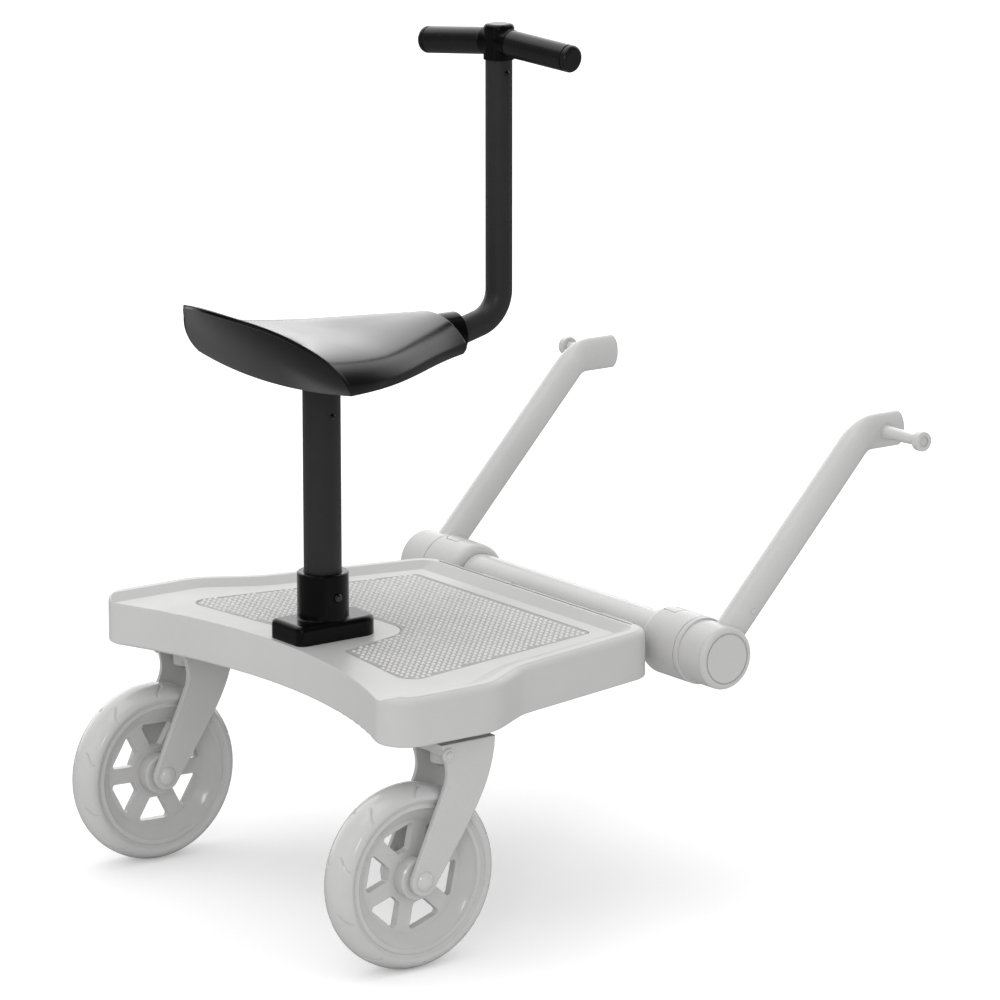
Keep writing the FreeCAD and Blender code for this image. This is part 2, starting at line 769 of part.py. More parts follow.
def rim_window(x, y, z, turn):
    """Room between two spokes: narrow at the hub, straight at its outer end, with rounded corners."""
    half_angle = math.pi / spoke_count
    near = hub_radius + 2 * window_corner
    ends = []
    for reach in (near, window_reach):
        ends.append((reach, reach * math.tan(half_angle) - spoke_width / 2 / math.cos(half_angle)))
    corners = [(near, -ends[0][1], window_corner), (window_reach, -ends[1][1], window_corner),
               (window_reach, ends[1][1], window_corner), (near, ends[0][1], window_corner)]
    room = slab(rounded_wire(corners, -rim_width), 2 * rim_width)
    room.rotate(V(0, 0, 0), V(0, 1, 0), -90)
    room.rotate(V(0, 0, 0), V(1, 0, 0), turn)
    room.translate(V(x, y, z))
    return room


def wheel_rim(side):
    x, y, z = wheel_centre(side)
    half, web = rim_width / 2, spoke_depth / 2
    outer = rim_radius - running_gap
    right, right_lip, right_web = dish_curve(x, y, z, 1)
    left, left_lip, left_web = dish_curve(x, y, z, -1)
    top_right, top_left = V(x + half, y, z + outer), V(x - half, y, z + outer)
    low_right, low_left = V(x + web, y, z), V(x - web, y, z)
    lines = [(right_web, low_right), (low_right, low_left), (low_left, left_web), (left_lip, top_left),
             (top_left, top_right), (top_right, right_lip)]
    edges = [Part.LineSegment(a, b).toShape() for a, b in lines] + [right, left]
    disc = Part.Face(Part.Wire(Part.__sortEdges__(edges))).revolve(V(x, y, z), V(1, 0, 0), 360)
    reach = hub_length / 2 - bush_flange
    hub = cylinder(hub_radius, (x - reach, y, z), (x + reach, y, z))
    hub = hub.makeChamfer(1.5, [e for e in hub.Edges if e.BoundBox.XLength < 1e-3])
    body = disc.fuse(hub)
    turn = spoke_turn_right if side > 0 else spoke_turn_left
    for i in range(spoke_count):
        body = body.cut(rim_window(x, y, z, 360.0 * (i + 0.5) / spoke_count + turn))
    bore = axle_radius + running_gap + bush_wall + running_gap
    return body.cut(cylinder(bore, (x - hub_length, y, z), (x + hub_length, y, z))).removeSplitter()


def hub_bushes(side):
    x, y, z = wheel_centre(side)
    bushes = []
    for way in (-1, 1):
        end = x + way * hub_length / 2
        flange = cylinder(bush_flange_radius, (end, y, z), (end - way * bush_flange, y, z))
        sleeve = cylinder(axle_radius + running_gap + bush_wall, (end - way * bush_flange, y, z),
                          (x + way * 2, y, z))
        bore = cylinder(axle_radius + running_gap, (x - hub_length, y, z), (x + hub_length, y, z))
        bushes.append(flange.fuse(sleeve).cut(bore))
    return Part.Compound(bushes)


# Caster forks: two tapering cheeks under a bridge that turns on the swivel stem
def smooth_line(points, first_way, last_way):
    curve = Part.BSplineCurve()
    curve.interpolate(Points=points, InitialTangent=first_way, FinalTangent=last_way)
    return curve.toShape()


def round_corner(before, corner, after, radius):
    """First, middle and last point of the arc that rounds a corner between two straight runs."""
    one, two = before - corner, after - corner
    one.normalize()
    two.normalize()
    half = one.getAngle(two) / 2
    middle = one + two
    middle.normalize()
    centre = corner + middle * (radius / math.sin(half))
    reach = radius / math.tan(half)
    return corner + one * reach, centre - middle * radius, corner + two * reach


def cheek_face(x):
    """Cheek outline: wide at the bridge, swept back and down to a round lobe at the axle."""
    lean = math.atan2(swivel_y - axle_y, fork_rise)
    down = lean * 1.8
    lobe = V(x, axle_y, axle_z)
    front_lobe = lobe + V(0, math.cos(down), -math.sin(down)) * fork_lobe
    low_lobe = lobe + V(0, -math.sin(lean), -math.cos(lean)) * fork_lobe
    top_front = V(x, swivel_y + fork_front, fork_top_z)
    top_rear = V(x, swivel_y - fork_rear, fork_top_z)
    knee = top_rear + V(0, fork_knee, -fork_knee_drop)
    rise = knee - lobe
    reach = rise.Length
    rise.normalize()
    rear_way = V(0, -rise.z, rise.y)
    share = fork_lobe / reach
    rear_lobe = lobe + (rise * share + rear_way * math.sqrt(1 - share ** 2)) * fork_lobe
    first, bend, last = round_corner(rear_lobe, knee, top_rear, fork_knee_round)
    belly = top_front * 0.5 + front_lobe * 0.5 + V(0, fork_belly, -fork_belly * 0.4)
    front = smooth_line([top_front, belly, front_lobe], V(0, -0.05, -1) * fork_rise,
                        V(0, -math.sin(down), -math.cos(down)) * fork_rise)
    edges = [front, Part.Arc(front_lobe, low_lobe, rear_lobe).toShape(),
             Part.LineSegment(rear_lobe, first).toShape(), Part.Arc(first, bend, last).toShape(),
             Part.LineSegment(last, top_rear).toShape(), Part.LineSegment(top_rear, top_front).toShape()]
    return Part.Face(Part.Wire(edges))


def fork(side):
    x = side * track_half
    pieces = []
    for start, outer in ((x - cheek_outer, x - cheek_outer), (x + cheek_inner, x + cheek_outer)):
        cheek = cheek_face(start).extrude(V(cheek_thickness, 0, 0))
        rim = [e for e in cheek.Edges if e.BoundBox.XLength < 1e-3 and abs(e.BoundBox.XMin - outer) < 1e-3
               and e.BoundBox.ZLength > 1e-3]
        pieces.append(cheek.makeFillet(cheek_round, rim))
    bridge = box((x - cheek_outer, swivel_y - fork_rear, fork_top_z - fork_bridge),
                 (x + cheek_outer, swivel_y + fork_front, fork_top_z))
    bridge = bridge.makeFillet(3.0, [e for e in bridge.Edges if e.BoundBox.ZLength > 1])
    trim = cheek_face(x - cheek_outer).extrude(V(2 * cheek_outer, 0, 0))
    boss = cylinder(fork_boss_radius, (x, swivel_y, fork_top_z - fork_bridge - fork_boss_drop),
                    (x, swivel_y, fork_top_z - 1))
    body = pieces[0].multiFuse(pieces[1:] + [bridge.common(trim), boss]).removeSplitter()
    body = body.cut(cylinder(stem_radius + running_gap, (x, swivel_y, axle_z), (x, swivel_y, fork_top_z + 1)))
    return body.cut(cylinder(axle_radius + running_gap, (x - cheek_outer - 1, axle_y, axle_z),
                             (x + cheek_outer + 1, axle_y, axle_z)))


def swivel_stem(side):
    x = side * track_half
    low = fork_top_z - fork_bridge - fork_boss_drop - 3
    head = cylinder(stem_radius + 3, (x, swivel_y, low), (x, swivel_y, low + 3))
    top = bush_top() + face_gap + stem_ring_height + 2
    return head.fuse(cylinder(stem_radius, (x, swivel_y, low + 3), (x, swivel_y, top))).removeSplitter()


def bush_top():
    return deck_under_z - face_gap - stem_ring_height - 4


def swivel_bush(side):
    x = side * track_half
    low = fork_top_z + face_gap
    flange = cylinder(swivel_flange_radius, (x, swivel_y, low), (x, swivel_y, low + swivel_flange))
    sleeve = cylinder(stem_radius + running_gap + swivel_bush_wall, (x, swivel_y, low), (x, swivel_y, bush_top()))
    bore = cylinder(stem_radius + running_gap, (x, swivel_y, low - 1), (x, swivel_y, bush_top() + 1))
    return flange.fuse(sleeve).cut(bore).removeSplitter()


def stem_ring(side):
    x = side * track_half
    low = bush_top() + face_gap
    return pipe_between(stem_ring_radius, stem_radius + running_gap, (x, swivel_y, low),
                        (x, swivel_y, low + stem_ring_height))


def dome_end(x, way):
    return dome_x((x, axle_y, axle_z), axle_head_radius, axle_head_height, way)


def axle_bolt(side):
    out = side * (track_half + cheek_outer)
    inn = side * (track_half - cheek_outer - axle_head_height / 2)
    shank = cylinder(axle_radius, (inn, axle_y, axle_z), (out, axle_y, axle_z))
    return dome_end(out, side).fuse(shank).removeSplitter()


def axle_nut(side):
    x = side * (track_half - cheek_outer)
    nut = dome_end(x, -side)
    return nut.cut(cylinder(axle_radius + running_gap, (x, axle_y, axle_z),
                            (x - side * (axle_head_height / 2 + seat_gap), axle_y, axle_z)))


# Cross tube on two cradles, with a sliding collar at each end
def cross_tube():
    return pipe_between(tube_radius, tube_radius - tube_wall, (-spigot_end, joint_y, joint_z),
                        (spigot_end, joint_y, joint_z))


def cradle_screw_places():
    places = []
    for side in (-1, 1):
        for way in (-1, 1):
            places.append((side * cradle_offset + way * cradle_screw_pitch / 2, joint_z - tube_radius * 0.45))
    return places


def tube_cradle(side):
    x = side * cradle_offset
    low = joint_z - cradle_height / 2 - 5
    body = box((x - cradle_width / 2, board_front, low), (x + cradle_width / 2, joint_y, joint_z + cradle_height / 3))
    body = body.makeFillet(4.0, [e for e in body.Edges if e.BoundBox.ZLength > 1 and e.BoundBox.YMin > board_front + 1])
    body = body.cut(cylinder(tube_radius + seat_gap, (x - cradle_width, joint_y, joint_z),
                             (x + cradle_width, joint_y, joint_z)))
    for sx, sz in cradle_screw_places():
        body = body.cut(cylinder(screw_radius + seat_gap, (sx, board_front - 1, sz), (sx, board_front + 9, sz)))
    return body


def cradle_screws():
    screws = []
    inside = board_front - board_wall
    for x, z in cradle_screw_places():
        head = cylinder(screw_head_radius, (x, inside - screw_head_height, z), (x, inside, z))
        screws.append(head.fuse(cylinder(screw_radius, (x, inside, z), (x, board_front + 8, z))))
    return Part.Compound(screws)


def on_carrier(shape, side):
    """The right-hand shape as made, or its mirror image moved out with the left carrier."""
    if side > 0:
        return shape
    moved = other_side(shape)
    moved.translate(V(-left_slide_out, 0, 0))
    return moved


def tongue_x(side):
    middle = (collar_inner_end + collar_seam) / 2 + (left_slide_out if side < 0 else 0)
    return side * middle + tongue_offset


def tongue_outline(x, grow, z):
    """Tongue seen from above: round towards -X, square at its root towards +X."""
    half = tongue_width / 2 + grow
    low, high = x - tongue_length / 2 - grow, x + tongue_length / 2 + grow
    corners = [(high, joint_y - half, 0.4), (high, joint_y + half, 0.4),
               (low, joint_y + half, half * 0.97), (low, joint_y - half, half * 0.97)]
    return rounded_wire(corners, z)


def tongue_hinge(side):
    return (tongue_x(side) + tongue_length / 2 - tongue_thickness / 2, joint_y,
            joint_z + collar_radius - tongue_thickness / 2 - 0.6)


def collar_blank():
    blank = cylinder(collar_radius, (collar_inner_end, joint_y, joint_z), (collar_seam, joint_y, joint_z))
    shoulder = [e for e in blank.Edges if e.BoundBox.XMax < collar_inner_end + 1e-4]
    return blank.makeFillet(min(collar_shoulder, collar_radius - tube_radius - running_gap - 1.0), shoulder)


def release_tongue(side):
    x = tongue_x(side)
    column = slab(tongue_outline(x, 0, joint_z), collar_radius + 1)
    skin = on_carrier(collar_blank(), side).cut(cylinder(
        collar_radius - tongue_thickness, (x - 2 * collar_length_x, joint_y, joint_z),
        (x + 2 * collar_length_x, joint_y, joint_z)))
    hx, hy, hz = tongue_hinge(side)
    bead = cylinder(tongue_bead, (hx, hy - tongue_width * 0.3, hz), (hx, hy + tongue_width * 0.3, hz))
    return column.common(skin).fuse(bead).removeSplitter()


def slide_collar(side):
    start, seam, end = collar_inner_end, collar_seam, spigot_end
    body = collar_blank().fuse(cylinder(spigot_radius, (seam, joint_y, joint_z), (end, joint_y, joint_z)))
    body = body.cut(cylinder(tube_radius + running_gap, (start - 1, joint_y, joint_z), (end + 1, joint_y, joint_z)))
    body = on_carrier(body, side)
    x = tongue_x(side)
    well = slab(tongue_outline(x, tongue_slot, joint_z), collar_radius + 1)
    floor = collar_radius - tongue_thickness - tongue_well
    return body.cut(well.cut(cylinder(floor, (x - tongue_length, joint_y, joint_z),
                                      (x + tongue_length, joint_y, joint_z)))).removeSplitter()


def collar_ring(side):
    ring = pipe_between(spigot_radius + ring_lip, tube_radius + moving_gap, (spigot_end, joint_y, joint_z),
                        (spigot_end + ring_thickness, joint_y, joint_z))
    return on_carrier(ring, side)


# Arm joints and arms: pivot collar, end cap, bent tube with a pressed end, plug and coupling pin
def ring_room():
    """Room in which the collar ring turns, between the barrel's bore and the cap."""
    return cylinder(spigot_radius + ring_lip + moving_gap, (spigot_end - face_gap, joint_y, joint_z),
                    (cap_x + 1, joint_y, joint_z))


def pivot_collar(side):
    start = collar_seam + seam_gap
    flange = cylinder(collar_radius, (start, joint_y, joint_z), (flange_end, joint_y, joint_z))
    flange = flange.makeFillet(1.2, [e for e in flange.Edges if e.BoundBox.XMin > flange_end - 1e-4])
    body = flange.fuse(cylinder(barrel_radius, (start, joint_y, joint_z), (cap_x, joint_y, joint_z)))
    body = body.cut(cylinder(spigot_radius + running_gap, (start - 1, joint_y, joint_z), (cap_x + 1, joint_y, joint_z)))
    body = body.cut(ring_room()).cut(arm_line(arm_radius + seat_gap))
    return on_carrier(body.removeSplitter(), side)


def collar_cap(side):
    end = cap_x + cap_thickness
    body = cylinder(barrel_radius, (cap_x, joint_y, joint_z), (end, joint_y, joint_z))
    body = body.makeFillet(cap_round, [e for e in body.Edges if e.BoundBox.XMin > end - 1e-4])
    body = body.cut(pipe_between(cap_ring_radius, cap_ring_radius - cap_ring_width,
                                 (end - cap_ring_depth, joint_y, joint_z), (end + 1, joint_y, joint_z)))
    return on_carrier(body, side)


def arm_line(radius):
    way = V(0, math.cos(lean_angle), math.sin(lean_angle))
    start = V(arm_x, joint_y, joint_z)
    return Part.makeCylinder(radius, arm_straight, start, way)


def oval_wire(place, way, half, tall):
    """Upright oval around a point of the arm's line, square to the line's direction."""
    up = V(1, 0, 0).cross(way)
    if tall - half < 1e-6:
        ring = Part.Circle(place, way, half)
        ring.XAxis = up
        return Part.Wire(ring.toShape())
    return Part.Wire(Part.Ellipse(place + up * tall, place + V(half, 0, 0), place).toShape())


def arm_solid(shrink):
    """Arm outline: straight run, then a bend to level that is pressed flat by its end."""
    radius = arm_radius - shrink
    way = V(0, math.cos(lean_angle), math.sin(lean_angle))
    run = Part.makeCylinder(radius, arm_straight, V(arm_x, joint_y, joint_z), way)
    centre = V(arm_x, flat_y, arm_z - arm_bend)
    bend_length = arm_bend * lean_angle
    wires = []
    steps = 10
    for i in range(steps + 1):
        along = (bend_length + arm_flat_start) * i / steps
        angle = lean_angle * max(0.0, 1 - along / bend_length)
        place = centre + V(0, -math.sin(angle), math.cos(angle)) * arm_bend
        place += V(0, max(0.0, along - bend_length), 0)
        share = (1 - math.cos(math.pi * i / steps)) / 2
        half = radius + (arm_flat_half - arm_radius) * share
        tall = radius + (arm_flat_tall - arm_radius) * share
        wires.append(oval_wire(place, V(0, math.cos(angle), math.sin(angle)), half, tall))
    press = Part.makeLoft(wires, True, False)
    flat = Part.Face(wires[-1]).extrude(V(0, arm_end - arm_flat_start, 0))
    return run.multiFuse([press, flat]).removeSplitter()


def arm_tube(side):
    body = arm_solid(0).cut(arm_solid(arm_wall))
    reach = 3 * arm_radius
    body = body.cut(cylinder(spigot_radius + moving_gap, (arm_x - reach, joint_y, joint_z),
                             (arm_x + reach, joint_y, joint_z))).cut(ring_room())
    y, z = arm_rivet_place()
    body = body.cut(rivet_hole(arm_radius, (arm_x, y, z)))
    body = body.cut(cylinder(pin_radius + seat_gap, (arm_x, pin_y, arm_z), (pin_base_x + 1, pin_y, arm_z)))
    return on_carrier(body, side)


def arm_rivet_place():
    return (joint_y + arm_rivet_reach * math.cos(lean_angle), joint_z + arm_rivet_reach * math.sin(lean_angle))


def arm_rivet(side):
    y, z = arm_rivet_place()
    rivet = dome_rivet((arm_x + arm_radius, y, z), arm_wall + 4)
    return on_carrier(rivet, side)


def arm_plug(side):
    tall, wide = arm_flat_tall, arm_flat_half
    flat = Part.Wire(Part.Ellipse(V(arm_x, arm_tip_y, arm_z + tall), V(arm_x + wide, arm_tip_y, arm_z),
                                  V(arm_x, arm_tip_y, arm_z)).toShape())
    crown = Part.Wire(Part.Ellipse(V(arm_x, arm_tip_y + plug_dome, arm_z + tall * 0.55),
                                   V(arm_x + wide * 0.45, arm_tip_y + plug_dome, arm_z),
                                   V(arm_x, arm_tip_y + plug_dome, arm_z)).toShape())
    swell = Part.Wire(Part.Ellipse(V(arm_x, arm_tip_y + plug_dome * 0.6, arm_z + tall * 0.86),
                                   V(arm_x + wide * 0.8, arm_tip_y + plug_dome * 0.6, arm_z),
                                   V(arm_x, arm_tip_y + plug_dome * 0.6, arm_z)).toShape())
    dome = Part.makeLoft([flat, swell, crown], True, False)
    shrink = arm_wall + seat_gap
    oval = Part.Ellipse(V(arm_x, arm_tip_y - plug_depth, arm_z + tall - shrink),
                        V(arm_x + wide - shrink, arm_tip_y - plug_depth, arm_z),
                        V(arm_x, arm_tip_y - plug_depth, arm_z))
    stub = Part.Face(Part.Wire(oval.toShape())).extrude(V(0, plug_depth, 0))
    body = dome.fuse(stub).removeSplitter()
    return on_carrier(body, side)


def coupling_pin(side):
    end = pin_reach - (left_slide_out if side < 0 else 0)
    tip = end - pin_head_length
    head = cylinder(pin_head_radius, (tip, pin_y, arm_z), (end, pin_y, arm_z))
    head = head.makeFillet(pin_head_round, [e for e in head.Edges if isinstance(e.Curve, Part.Circle)])
    hollow_half, hollow_tall = arm_flat_half - arm_wall, arm_flat_tall - arm_wall
    root = arm_x - hollow_half * math.sqrt(1 - (pin_radius / hollow_tall) ** 2) + face_gap
    shank = cylinder(pin_radius, (root, pin_y, arm_z), (tip + 1, pin_y, arm_z))
    flange = cylinder(pin_flange_radius, (pin_base_x, pin_y, arm_z), (pin_base_x + pin_flange, pin_y, arm_z))
    taper = Part.makeCone(pin_root_radius, pin_radius, tip - pin_base_x, V(pin_base_x, pin_y, arm_z), V(1, 0, 0))
    body = head.multiFuse([shank, taper, flange]).removeSplitter()
    dimple = cylinder(pin_dimple_radius, (end - pin_dimple_depth, pin_y, arm_z), (end + 1, pin_y, arm_z))
    return on_carrier(body.cut(dimple), side)


def write(name, shape):
    placed = shape.copy()
    placed.translate(V(0, -middle_y, 0))
    placed.exportStep("parts/" + name + ".step")


os.makedirs("parts", exist_ok=True)
single = {
    "board_shell": board_shell, "grip_mat": grip_mat, "saddle_foot": saddle_foot, "foot_screws": foot_screws,
    "snap_button": snap_button, "saddle_post": saddle_post, "post_rivet": post_rivet,
    "saddle_shell": saddle_shell, "saddle_hub": saddle_hub, "handle_collar": handle_collar, "handle_tube": handle_tube,
    "handle_rivet": handle_rivet, "bar_head": bar_head, "cross_tube": cross_tube, "cradle_screws": cradle_screws,
}
paired = {
    "grip": grip, "tyre": tyre, "wheel_rim": wheel_rim, "hub_bushes": hub_bushes, "fork": fork,
    "swivel_stem": swivel_stem, "swivel_bush": swivel_bush, "stem_ring": stem_ring, "axle_bolt": axle_bolt,
    "axle_nut": axle_nut, "tube_cradle": tube_cradle, "slide_collar": slide_collar,
    "release_tongue": release_tongue, "collar_ring": collar_ring, "pivot_collar": pivot_collar,
    "collar_cap": collar_cap, "arm_tube": arm_tube, "arm_rivet": arm_rivet, "arm_plug": arm_plug,
    "coupling_pin": coupling_pin,
}
for name, build in single.items():
    write(name, build())
for name, build in paired.items():
    write(name + "_left", build(-1))
    write(name + "_right", build(1))

print("moved along Y by", round(-middle_y, 3))
print("swivel", track_half, round(swivel_y - middle_y, 3), "axle", round(axle_y - middle_y, 3), axle_z)
print("joint", round(joint_y - middle_y, 3), joint_z)
for side in (-1, 1):
    print("tongue", [round(v, 3) for v in tongue_hinge(side)])
print("pin", pin_reach - pin_head_length / 2, round(pin_y - middle_y, 3), round(arm_z, 3))
print("snap button", round(button_z(), 3), "height", head_bottom_z + head_height)
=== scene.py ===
# %% [markdown]
# # A buggy board with a ride-on saddle
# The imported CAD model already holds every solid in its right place. This lesson dresses it: it sets up the
# studio, makes the finishes, and remakes the pieces whose looks need more than plain solids give, such as the
# saddle's skin, the bumpy grip mat, the handle's bent tube and the tyres.

# %% Load the frame
import math
import bmesh
import bpy
import numpy as np
from mathutils import Matrix, Vector


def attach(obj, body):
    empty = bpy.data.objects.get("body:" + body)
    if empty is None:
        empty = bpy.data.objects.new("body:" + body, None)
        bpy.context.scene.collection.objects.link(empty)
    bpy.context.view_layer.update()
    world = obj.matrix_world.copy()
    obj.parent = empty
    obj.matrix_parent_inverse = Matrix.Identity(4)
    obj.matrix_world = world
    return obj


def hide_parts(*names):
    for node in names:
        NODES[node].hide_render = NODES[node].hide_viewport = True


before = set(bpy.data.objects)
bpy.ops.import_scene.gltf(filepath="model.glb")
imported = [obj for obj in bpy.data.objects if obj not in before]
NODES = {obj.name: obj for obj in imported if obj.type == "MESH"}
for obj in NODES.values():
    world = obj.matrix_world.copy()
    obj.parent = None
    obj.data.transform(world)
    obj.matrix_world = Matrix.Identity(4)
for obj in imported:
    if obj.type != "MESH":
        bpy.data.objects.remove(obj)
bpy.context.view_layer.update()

MM = 0.001

# %% [markdown]
# ## Camera
# A long lens from behind and to the right, a little above the deck, as product pictures are taken. The place
# and the angles are written as numbers, so that the view is the same on every run.

# %% Camera
CAMERA_PLACE = Vector((4.03666, -2.95337, 1.53146))
CAMERA_AZIMUTH, CAMERA_ELEVATION = math.radians(53.66), math.radians(13.24)
LENS_MM, SENSOR_MM = 198.33, 36.0


def add_camera():
    data = bpy.data.cameras.new("studio_camera")
    data.sensor_width, data.lens, data.clip_end = SENSOR_MM, LENS_MM, 60.0
    camera = bpy.data.objects.new("studio_camera", data)
    bpy.context.scene.collection.objects.link(camera)
    right = Vector((math.cos(CAMERA_AZIMUTH), math.sin(CAMERA_AZIMUTH), 0.0))
    level = math.cos(CAMERA_ELEVATION)
    back = Vector((math.sin(CAMERA_AZIMUTH) * level, -math.cos(CAMERA_AZIMUTH) * level, math.sin(CAMERA_ELEVATION)))
    turn = Matrix((right, back.cross(right), back)).transposed()
    camera.matrix_world = Matrix.Translation(CAMERA_PLACE) @ turn.to_4x4()
    bpy.context.scene.camera = camera


add_camera()
bpy.context.scene.view_settings.view_transform = "Standard"
print("camera at", tuple(round(v, 3) for v in CAMERA_PLACE))

# %% [markdown]
# ## Helpers for node trees
# Shaders and geometry trees are built with the same few helpers. One adds a node, makes its settings and links
# or sets its inputs; the others add the nodes that come up most often and give back their output.


# %% Node helpers
def node(tree, kind, links=(), **settings):
    """A node with its settings made and its inputs linked or set."""
    made = tree.nodes.new(kind)
    for key, value in settings.items():
        setattr(made, key, value)
    for socket, source in links:
        if hasattr(source, "is_output"):
            tree.links.new(source, made.inputs[socket])
        else:
            made.inputs[socket].default_value = source
    return made


def maths(tree, operation, *terms):
    """The result of an operation on values and outputs."""
    return node(tree, "ShaderNodeMath", enumerate(terms), operation=operation).outputs[0]


def remap(tree, value, low, high, to_low=0.0, to_high=1.0, kind="LINEAR"):
    """A value moved from one range to another."""
    ends = [(0, value), (1, low), (2, high), (3, to_low), (4, to_high)]
    return node(tree, "ShaderNodeMapRange", ends, interpolation_type=kind).outputs[0]


def mix_colour(tree, factor, first, second):
    """A blend of two colours, each a value or an output."""
    return node(tree, "ShaderNodeMix", [(0, factor), (6, first), (7, second)], data_type="RGBA").outputs[2]


def grey(value, warm=0.0):
    return (value * (1 + warm), value, value * (1 - warm), 1.0)


print("helpers for node trees are ready")

# %% [markdown]
# ## Studio
# A white sweep with one large soft box overhead, a weaker one behind and a small one to the right for the
# highlights. The floor keeps the object's shadow; a little light of its own, for camera rays only, lifts its lit
# part to the white of the background. Glossy surfaces mirror a bright sweep behind the object, a dim floor and a
# dark room in front.

# %% Floor, world and lamps
FLOOR_HALF, FLOOR_ALBEDO, FLOOR_MIRRORED = 14.0, 0.86, 0.22
LIFT_NEAR, LIFT_FAR = 0.27, 0.62
NEAR, FAR = 0.55, 2.6
WORLD_LIGHT = 0.84
SWEEP_WAY, SWEEP_FROM, SWEEP_TO = (-0.784, 0.577, 0.229), 0.28, 0.95
GLOSS_FRONT, GLOSS_SWEEP = 0.05, 2.0
LAMPS = {  # place, target, size and power
    "overhead_box": ((-0.3, -0.5, 2.6), (0.0, 0.0, 0.3), (2.2, 2.2), 17.0),
    "rear_box": ((0.1, -3.1, 1.2), (0.0, 0.0, 0.4), (1.0, 2.0), 2.5),
    "front_box": ((2.1, -2.1, 1.55), (0.0, 0.0, 0.35), (0.35, 0.7), 8.0),
}


def add_floor():
    mesh = bpy.data.meshes.new("floor")
    corners = [(-1, -1, 0), (1, -1, 0), (1, 1, 0), (-1, 1, 0)]
    mesh.from_pydata([Vector(corner) * FLOOR_HALF for corner in corners], [], [(0, 1, 2, 3)])
    floor = bpy.data.objects.new("floor", mesh)
    bpy.context.scene.collection.objects.link(floor)
    material = bpy.data.materials.new("floor_white")
    material.use_nodes = True
    tree = material.node_tree
    shader = tree.nodes["Principled BSDF"].inputs
    path = node(tree, "ShaderNodeLightPath").outputs
    place = node(tree, "ShaderNodeTexCoord").outputs["Object"]
    away = node(tree, "ShaderNodeVectorMath", [(0, place)], operation="LENGTH").outputs["Value"]
    glow = remap(tree, away, NEAR, FAR, LIFT_NEAR, LIFT_FAR, "SMOOTHSTEP")
    tone = mix_colour(tree, path["Is Glossy Ray"], grey(FLOOR_ALBEDO), grey(FLOOR_MIRRORED))
    tree.links.new(tone, shader["Base Color"])
    tree.links.new(maths(tree, "MULTIPLY", path["Is Camera Ray"], glow), shader["Emission Strength"])
    shader["Emission Color"].default_value = grey(1.0)
    shader["Roughness"].default_value = 0.9
    shader["Specular IOR Level"].default_value = 0.0
    mesh.materials.append(material)


def add_world():
    world = bpy.data.worlds.new("studio_world")
    world.use_nodes = True
    tree = world.node_tree
    light = tree.nodes["Background"].inputs
    light["Color"].default_value = grey(1.0)
    path = node(tree, "ShaderNodeLightPath").outputs
    way = node(tree, "ShaderNodeTexCoord").outputs["Generated"]
    facing = node(tree, "ShaderNodeVectorMath", [(0, way), (1, SWEEP_WAY)], operation="DOT_PRODUCT").outputs["Value"]
    mirrored = remap(tree, facing, SWEEP_FROM, SWEEP_TO, GLOSS_FRONT, GLOSS_SWEEP, "SMOOTHSTEP")
    lit = node(tree, "ShaderNodeMix", [(0, path["Is Glossy Ray"]), (2, WORLD_LIGHT), (3, mirrored)]).outputs[0]
    seen = node(tree, "ShaderNodeMix", [(0, path["Is Camera Ray"]), (2, lit), (3, 1.0)]).outputs[0]
    tree.links.new(seen, light["Strength"])
    bpy.context.scene.world = world


def add_lamp(name, place, target, size, power):
    data = bpy.data.lights.new(name, "AREA")
    data.shape, data.size, data.size_y, data.energy = "RECTANGLE", size[0], size[1], power
    lamp = bpy.data.objects.new(name, data)
    lamp.location = place
    lamp.rotation_euler = (Vector(target) - Vector(place)).to_track_quat("-Z", "Y").to_euler()
    bpy.context.scene.collection.objects.link(lamp)


add_floor()
add_world()
for lamp_name, lamp_values in LAMPS.items():
    add_lamp(lamp_name, *lamp_values)
print("studio: floor, world and", len(LAMPS), "lamps")

# %% [markdown]
# ## Shared effects
# Two node groups serve all finishes. Moulded grain gives the fine orange-peel of an injection mould, with a
# slow mottling of tone. Fine scuffs gives the faint long scratches that handled plastic and rubber collect.
# A group only puts out masks and values; the shader stays in each material.


# %% Node groups
def value_group(name, inputs, outputs):
    """An empty shader group with named values in and out."""
    tree = bpy.data.node_groups.new(name, "ShaderNodeTree")
    for label, value in inputs:
        tree.interface.new_socket(name=label, in_out="INPUT", socket_type="NodeSocketFloat").default_value = value
    for label in outputs:
        tree.interface.new_socket(name=label, in_out="OUTPUT", socket_type="NodeSocketFloat")
    return tree, tree.nodes.new("NodeGroupInput").outputs, tree.nodes.new("NodeGroupOutput").inputs


def noise(tree, place, scale, detail, roughness=0.5):
    links = [("Vector", place), ("Scale", scale), ("Detail", detail), ("Roughness", roughness)]
    return node(tree, "ShaderNodeTexNoise", links).outputs[0]


def build_grain_group():
    tree, given, result = value_group("Moulded grain", [("Grain scale", 900.0), ("Mottle scale", 9.0)],
                                      ["Shade", "Polish", "Height"])
    place = node(tree, "ShaderNodeTexCoord").outputs["Object"]
    grain = noise(tree, place, given["Grain scale"], 2.0)
    mottle = noise(tree, place, given["Mottle scale"], 5.0, 0.6)
    polish = maths(tree, "MULTIPLY", remap(tree, mottle, 0.3, 0.7, 0.4, 1.0), remap(tree, grain, 0.3, 0.7, 0.5, 1.0))
    tree.links.new(remap(tree, mottle, 0.34, 0.66), result["Shade"])
    tree.links.new(polish, result["Polish"])
    tree.links.new(grain, result["Height"])
    return tree


